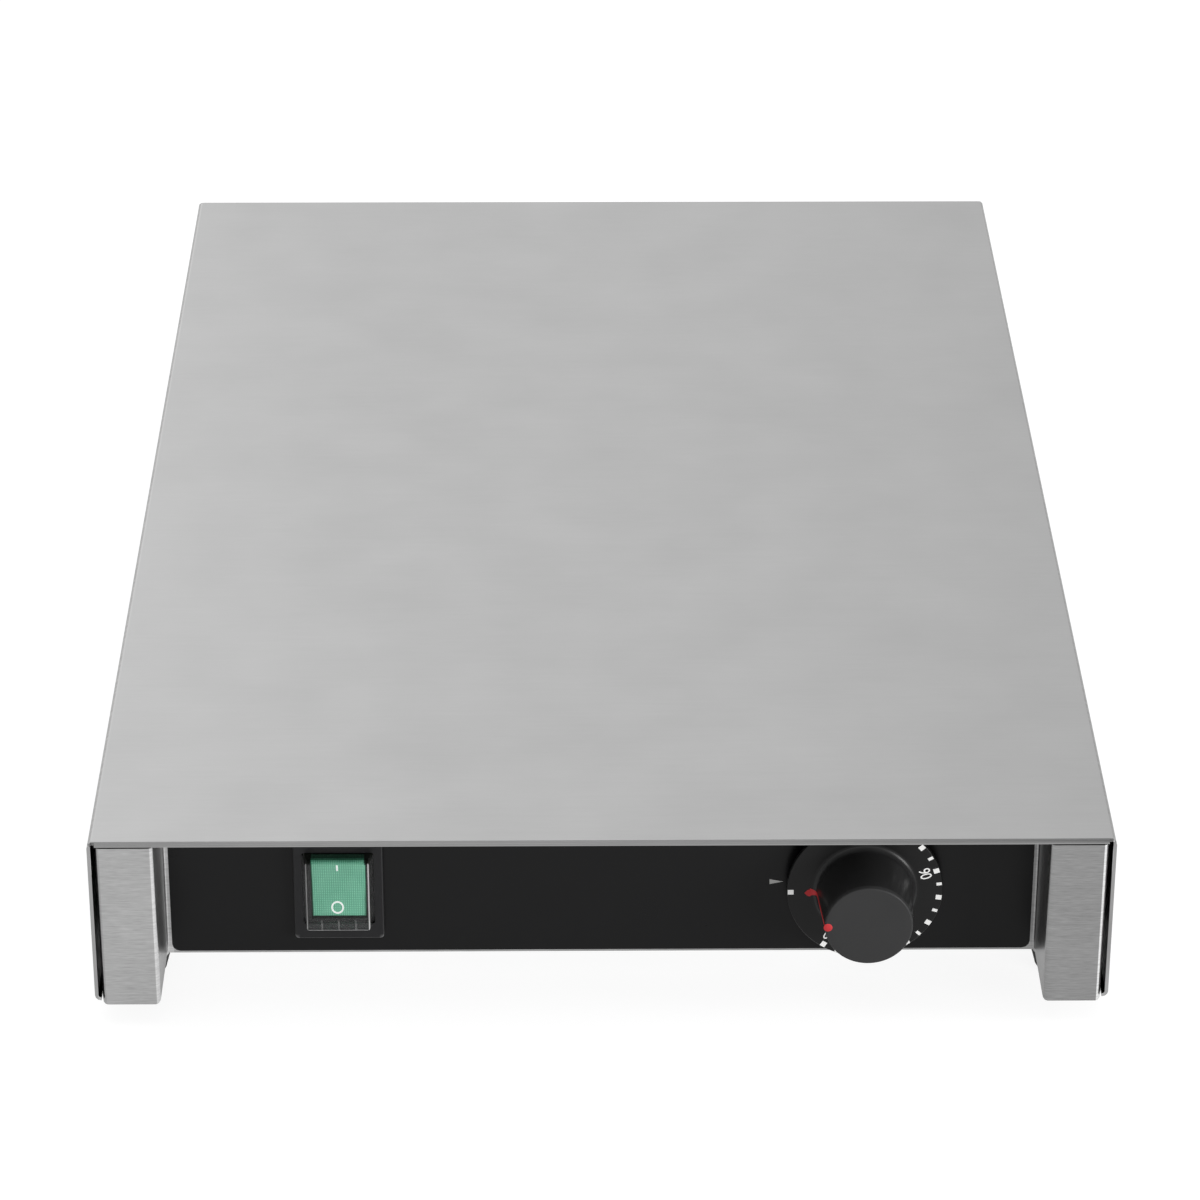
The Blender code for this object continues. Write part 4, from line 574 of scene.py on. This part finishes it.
phenolic = moulded("phenolic", (0.085, 0.040, 0.020), (0.140, 0.070, 0.036), 0.45)
dress(phenolic, "thermostat_body")
dress(brass, "thermostat_terminal_left", "thermostat_terminal_right")
dress(zinc, "thermostat_screw_left", "thermostat_screw_right", "thermostat_spindle")

# Knob
# One black moulding on the thermostat spindle: a thin dial skirt with a tapered grip.
# Its face is matt, and the root of the grip runs into the skirt with a small fillet.

knob_low, knob_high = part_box("knob")
KNOB_X, KNOB_Z = (knob_low.x + knob_high.x) / 2, (knob_low.z + knob_high.z) / 2


def knob_plastic():
    """Black plastic: a spark-eroded, matt face and a smoother skirt and root, with painted shade on the
    skirt and, less, on the hub.
    """
    finish = Finish("knob_black", Specular_IOR_Level=0.20)
    skin = finish.grain((1500.0, 1500.0, 1500.0), 2.0)
    cloud = finish.grain((60.0, 60.0, 60.0), 2.0)
    black = finish.tint(cloud * 0.6 + skin * 0.4, (0.031, 0.031, 0.0315), (0.041, 0.041, 0.0415))
    hub = finish.above(-0.2503, finish.axis(1))
    face = finish.above(-0.2715, finish.axis(1))
    finish.drive(
        # painted shade: the skirt at 0.16 and the hub at 0.62 of the face's brightness
        Base_Color=finish.shade(black, 0.16 + hub * 0.46 + face * 0.38),
        Roughness=0.34 - hub * 0.07 + face * 0.17 + cloud * 0.06,
        Normal=finish.relief(skin, 0.000008),
    )
    return finish.material


knob_black = knob_plastic()
skirt_back, grip_face = knob_high.y, knob_high.y - knob_low.y
SKIRT, SKIRT_TOP, ROOT, FACE, FILLET = 0.0268, 0.0022, 0.0164, 0.0149, 0.0024
bore, sleeve, hollow, wall, skirt_edge, rim = 0.0033, 0.0056, 0.0160, 0.0022, 0.0005, 0.0006
profile = [
    (0.0, hollow),
    (bore, hollow),
    (bore, 0.0),
    (sleeve, 0.0),
    (sleeve, hollow),
    (FACE - wall, hollow),
    (ROOT - wall, 0.0),
    *arc((SKIRT - skirt_edge, skirt_edge), skirt_edge, -1, 0, 4),
    *arc((SKIRT - skirt_edge, SKIRT_TOP - skirt_edge), skirt_edge, 0, 1, 5),
    *arc((ROOT + FILLET, SKIRT_TOP + FILLET), FILLET, 3, 2, 10),
    *arc((FACE - rim, grip_face - rim), rim, 0.05, 1, 8),
    (FACE - 0.0030, grip_face - 0.00002),
    (0.0, grip_face - 0.00030),
]
bm = turned(profile, 128, (0, -1, 0), (KNOB_X, skirt_back, KNOB_Z))
dial_knob = finished(bm, "dial_knob", "dial", knob_black)
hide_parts("knob")

# Dial print
# White squares every five degrees and numbers every thirty are printed on the skirt.
# A red arrow on the skirt, a red line along the grip and a red dot on its face mark the pointer's side.

print_white = ink("print_white", (0.86, 0.86, 0.85), 0.36)
print_red = ink("print_red", (0.52, 0.024, 0.030), 0.10)
TICK_RING, NUMBER_RING, ARROW_RING = 0.0255, 0.0213, 0.0196
NINETY, STEP, ZERO, THIRTY = 17.8, 12.0, 181.2, -122.6
MARK_FILM = 0.00006
skirt_face = skirt_back - SKIRT_TOP


def on_skirt(bm, angle, radius, turn):
    """Sets a mark made in XZ at the origin on the skirt, at an angle and a radius, and turns it."""
    angle = math.radians(angle)
    spot = (KNOB_X + radius * math.cos(angle), skirt_face, KNOB_Z + radius * math.sin(angle))
    lay = Matrix.Translation(spot) @ Matrix.Rotation(-turn, 4, "Y")
    bmesh.ops.transform(bm, matrix=lay, verts=bm.verts)
    return bm


ticks = [(90 + 5 * n, NINETY + STEP * n, n % 2 == 0) for n in range(-8, 3)]
ticks += [(30, THIRTY, True), (35, -110.9, False), (0, ZERO, True)]
for number, angle, whole in ticks:
    length, width = (0.0020, 0.0018) if whole else (0.0018, 0.0011)
    tick = on_skirt(flat_print(square(length, width), MARK_FILM), angle, TICK_RING, math.radians(angle))
    finished(tick, f"dial_tick_{number}", "dial", print_white)


def lettering(words, height):
    """Words as a thin plate in XZ, centred on the origin and facing -Y. Their figures have this height."""
    text = bpy.data.curves.new("words", "FONT")
    text.body = words
    text.align_x = "CENTER"
    text.align_y = "CENTER"
    text.size = height * 1.42
    text.space_character = 0.92
    text.extrude = 0.00003
    holder = bpy.data.objects.new("words", text)
    bpy.context.scene.collection.objects.link(holder)
    bpy.context.view_layer.update()
    solid = holder.to_mesh()
    bm = bmesh.new()
    bm.from_mesh(solid)
    holder.to_mesh_clear()
    bpy.data.objects.remove(holder)
    bpy.data.curves.remove(text)
    bmesh.ops.transform(bm, matrix=Matrix.Rotation(math.pi / 2, 4, "X"), verts=bm.verts)
    bmesh.ops.translate(bm, vec=(0.0, -0.00003, 0.0), verts=bm.verts)
    bmesh.ops.remove_doubles(bm, verts=bm.verts, dist=0.000001)
    return bm


for words, angle in (("90", 18.0), ("60", -54.0), ("30", THIRTY)):
    number = lettering(words, 0.0040)
    bmesh.ops.scale(number, vec=(0.80, 1.0, 1.0), verts=number.verts)
    number = on_skirt(number, angle, NUMBER_RING, math.radians(angle - 90.0))
    finished(number, f"dial_number_{words}", "dial", print_white)

head = [(0.0012, 0.0), (0.0001, 0.0012), (-0.0008, 0.0014), (-0.0008, -0.0014), (0.0001, -0.0012)]
arrow = on_skirt(flat_print(head, MARK_FILM), 182.5, ARROW_RING, math.radians(182.5))
finished(arrow, "dial_arrow", "dial", print_red)

root = Vector((KNOB_X, skirt_face, KNOB_Z))
line_turn = math.radians(181.5)
outward = Vector((math.cos(line_turn), 0.0, math.sin(line_turn)))
sideways = Vector((-outward.z, 0.0, outward.x))
film, start = 0.00007, ROOT + FILLET + 0.0001
inner = [(start, 0.0), *arc((ROOT + FILLET, FILLET), FILLET, 3, 2, 8)]
outer = [(start, film), *arc((ROOT + FILLET, FILLET), FILLET - film, 3, 2, 8)]
top = (FACE + 0.00005, grip_face - SKIRT_TOP - 0.0005)
strip = [*outer, (top[0] + film, top[1]), top, *reversed(inner)]
bm = bmesh.new()
side = []
for radius, rise in strip:
    width = 0.0006 + max(0.0, radius - ROOT) * 0.35
    side.append(bm.verts.new(root + outward * radius - sideways * width + Vector((0.0, -rise, 0.0))))
for vert in extruded(bm, bm.faces.new(side)):
    vert.co -= sideways * (2 * (vert.co - root).dot(sideways))
bmesh.ops.recalc_face_normals(bm, faces=bm.faces)
finished(bm, "grip_line", "dial", print_red)

button = [(0.0, 0.0), (0.0015, 0.0), (0.0015, 0.00016), (0.0012, 0.00028), (0.0, 0.00034)]
bm = turned(button, 32, (0, -1, 0), (0.0, 0.0, 0.0))
spot = root + outward * (FACE - 0.0010) + Vector((0.0, -(grip_face - SKIRT_TOP) + 0.0001, 0.0))
bmesh.ops.translate(bm, vec=spot, verts=bm.verts)
finished(bm, "grip_dot", "dial", print_red)

# Heated stack
# A silicone heating mat lies under the plate. Insulation and a folded zinc-plated plate hold it up,
# on studs that are welded to the cover, with hexagon standoffs and nuts.

silicone = moulded("heater_silicone", (0.36, 0.075, 0.045), (0.50, 0.125, 0.080), 0.66, 0.4)
wool = moulded("insulation_wool", (0.60, 0.57, 0.50), (0.84, 0.82, 0.77), 0.94, 0.2, 0.0004, 500.0)
dress(silicone, "heating_mat")
dress(wool, "insulation")
dress(zinc, "retaining_plate", "retainer_nut_left", "retainer_nut_right")
dress(zinc, *[f"standoff_{corner}" for corner in corners])

# Wiring
# Silicone-covered leads run from the terminal block to the switch, thermostat, cut-out and mat.
# A copper bulb lies in a channel of the insulation, and its capillary runs to the thermostat.

copper_finish = Finish("copper", Metallic=1.0, Roughness=0.33)
bloom = copper_finish.grain((200.0, 200.0, 200.0), 3.0)
copper_finish.drive(Base_Color=copper_finish.tint(bloom, (0.62, 0.29, 0.17), (0.82, 0.46, 0.31)))
copper = copper_finish.material
polyamide = moulded("cream_polyamide", (0.66, 0.62, 0.52), (0.78, 0.75, 0.66), 0.46)
brown = moulded("lead_brown", (0.12, 0.045, 0.022), (0.19, 0.075, 0.040), 0.52)
blue = moulded("lead_blue", (0.016, 0.085, 0.38), (0.028, 0.130, 0.50), 0.52)


def earth_stripes():
    """Green insulation with a yellow stripe that winds along the lead."""
    finish = Finish("lead_green_yellow", Roughness=0.52)
    slant = {0: finish.place, 1: (420.0, 420.0, 900.0)}
    lengths = finish.add("ShaderNodeVectorMath", {"operation": "DOT_PRODUCT"}, slant, 1)
    stripe = finish.above(finish.math("SINE", lengths * 2.0), 0.2)
    finish.drive(Base_Color=finish.tint(stripe, (0.06, 0.30, 0.05), (0.78, 0.62, 0.04)))
    return finish.material


dress(copper, "sensor_bulb", "capillary_tube")
dress(polyamide, "terminal_block")
dress(brown, "lead_live", "lead_switch_to_thermostat", "lead_thermostat_to_cutout", "lead_cutout_to_heater")
dress(blue, "lead_neutral", "lead_neutral_to_heater")
dress(earth_stripes(), "lead_earth")
dress(zinc, "thermal_cutout", "terminal_block_screw", "earth_screw")
dress(brass, "earth_nut")

# Top cover
# One folded sheet of brushed stainless steel: the heated plate, two side panels and a short lip at each end.
# The standoffs tie it to the base plate, and studs welded under it hold the heated stack.


def cover_painted_shade(finish):
    """Painted shade inside the side panels and over the folded lips at both ends, darkest near the fold; a
    painted falloff, darker towards the right and the sides of the plate; and the side panels' outer faces
    darker, streaked by brushing.
    """
    panel_x = 0.17135
    x, height = finish.axis(0), finish.axis(2)
    out_x, out_y = finish.distance(x), finish.distance(finish.axis(1))
    within = finish.above(panel_x, out_x)
    side = finish.above(out_x, panel_x)
    inside = within * finish.above(0.0698, height) * finish.above(0.27488, out_y)
    lip = finish.above(out_y, 0.27345) * within * finish.above(height, 0.060)
    fade = 0.755 - finish.distance(height, 0.07166) * 520.0
    shaded = inside * 0.93 + (lip - lip * inside) * fade
    brushing = finish.grain((22.0, 900.0, 22.0), 3.0)
    # painted falloff across the plate, and painted shade inside the side panels and on the lips
    return 1.03 - x * 0.23 - x * x * 2.4 - shaded - side * (0.52 - brushing * 0.60)


cover_steel = brushed_steel(
    "cover_steel", 0.42, 0.13, 0.45, (22.0, 700.0, 22.0), (70.0, 2200.0, 70.0), 0.000010, cover_painted_shade
)
merged("top_cover", "cover", "tray", cover_steel, 0.00012)

# Camera, floor and light
# A plain floor and surround that show as white, four soft lamps, and the camera at the photograph's angle.
# The white is added only for what the camera, reflections and clear plastic see, so it lights nothing.

camera_data = bpy.data.cameras.new("camera")
camera_data.lens = 137.844
camera_data.sensor_width = 36.0
camera_data.shift_x = -0.01767
camera_data.clip_end = 50.0
camera = bpy.data.objects.new("camera", camera_data)
bpy.context.scene.collection.objects.link(camera)
pitch, yaw, roll = math.radians(27.841), math.radians(-0.821), math.radians(0.210)
ahead = Vector((-math.sin(yaw) * math.cos(pitch), math.cos(yaw) * math.cos(pitch), -math.sin(pitch)))
right = Vector((math.cos(yaw), math.sin(yaw), 0.0))
up = right.cross(ahead)
across = right * math.cos(roll) + up * math.sin(roll)
upright = up * math.cos(roll) - right * math.sin(roll)
facing = Matrix((across, upright, -ahead)).transposed().to_4x4()
camera.matrix_world = Matrix.Translation((-0.01297, -1.59584, 0.86133)) @ facing
bpy.context.scene.camera = camera
bpy.context.scene.view_settings.view_transform = "Standard"


def shown_white(nodes, light, extra):
    """A strength that lights with one value and shows, in pictures and reflections, with another added."""
    rays = ("Is Camera Ray", "Is Glossy Ray", "Is Transmission Ray")
    seen, *others = [nodes.add("ShaderNodeLightPath", {}, {}, ray) for ray in rays]
    for other in others:
        seen = nodes.math("MAXIMUM", seen, other)
    return seen * extra + light


world = bpy.data.worlds.new("studio")
bpy.context.scene.world = world
world.use_nodes = True
studio = Nodes(world.node_tree)
sky = world.node_tree.nodes["Background"]
sky.inputs["Color"].default_value = (1.0, 1.0, 1.0, 1.0)
studio.tree.links.new(shown_white(studio, 0.55, 0.45).socket, sky.inputs["Strength"])

pale = Finish(
    "pale_floor",
    Base_Color=(0.20, 0.20, 0.20, 1.0),
    Roughness=0.9,
    Specular_IOR_Level=0.0,
    Emission_Color=(1.0, 1.0, 1.0, 1.0),
)
pale.drive(Emission_Strength=shown_white(pale, 0.0, 0.88))
bm = bmesh.new()
bmesh.ops.create_grid(bm, x_segments=1, y_segments=1, size=6.0)
mesh = bpy.data.meshes.new("studio_floor")
bm.to_mesh(mesh)
bm.free()
mesh.materials.append(pale.material)
floor = bpy.data.objects.new("studio_floor", mesh)
bpy.context.scene.collection.objects.link(floor)


def soft_box(name, place, aim, size, power):
    """A square lamp that points at a spot."""
    data = bpy.data.lights.new(name, "AREA")
    data.shape = "RECTANGLE"
    data.size, data.size_y = size
    data.energy = power
    lamp = bpy.data.objects.new(name, data)
    bpy.context.scene.collection.objects.link(lamp)
    lamp.location = place
    lamp.rotation_euler = (Vector(aim) - Vector(place)).to_track_quat("-Z", "Y").to_euler()


soft_box("overhead", (-0.3, 0.2, 2.6), (0.0, 0.0, 0.0), (2.4, 2.4), 26.0)
soft_box("right_front", (1.9, -1.7, 0.40), (0.1, -0.25, 0.03), (1.1, 0.7), 38.0)
soft_box("right_high", (2.2, -0.5, 1.15), (0.1, -0.25, 0.03), (0.7, 0.7), 14.0)
soft_box("back_left", (-1.1, 2.2, 1.15), (0.0, 0.0, 0.07), (1.6, 1.4), 2.6)
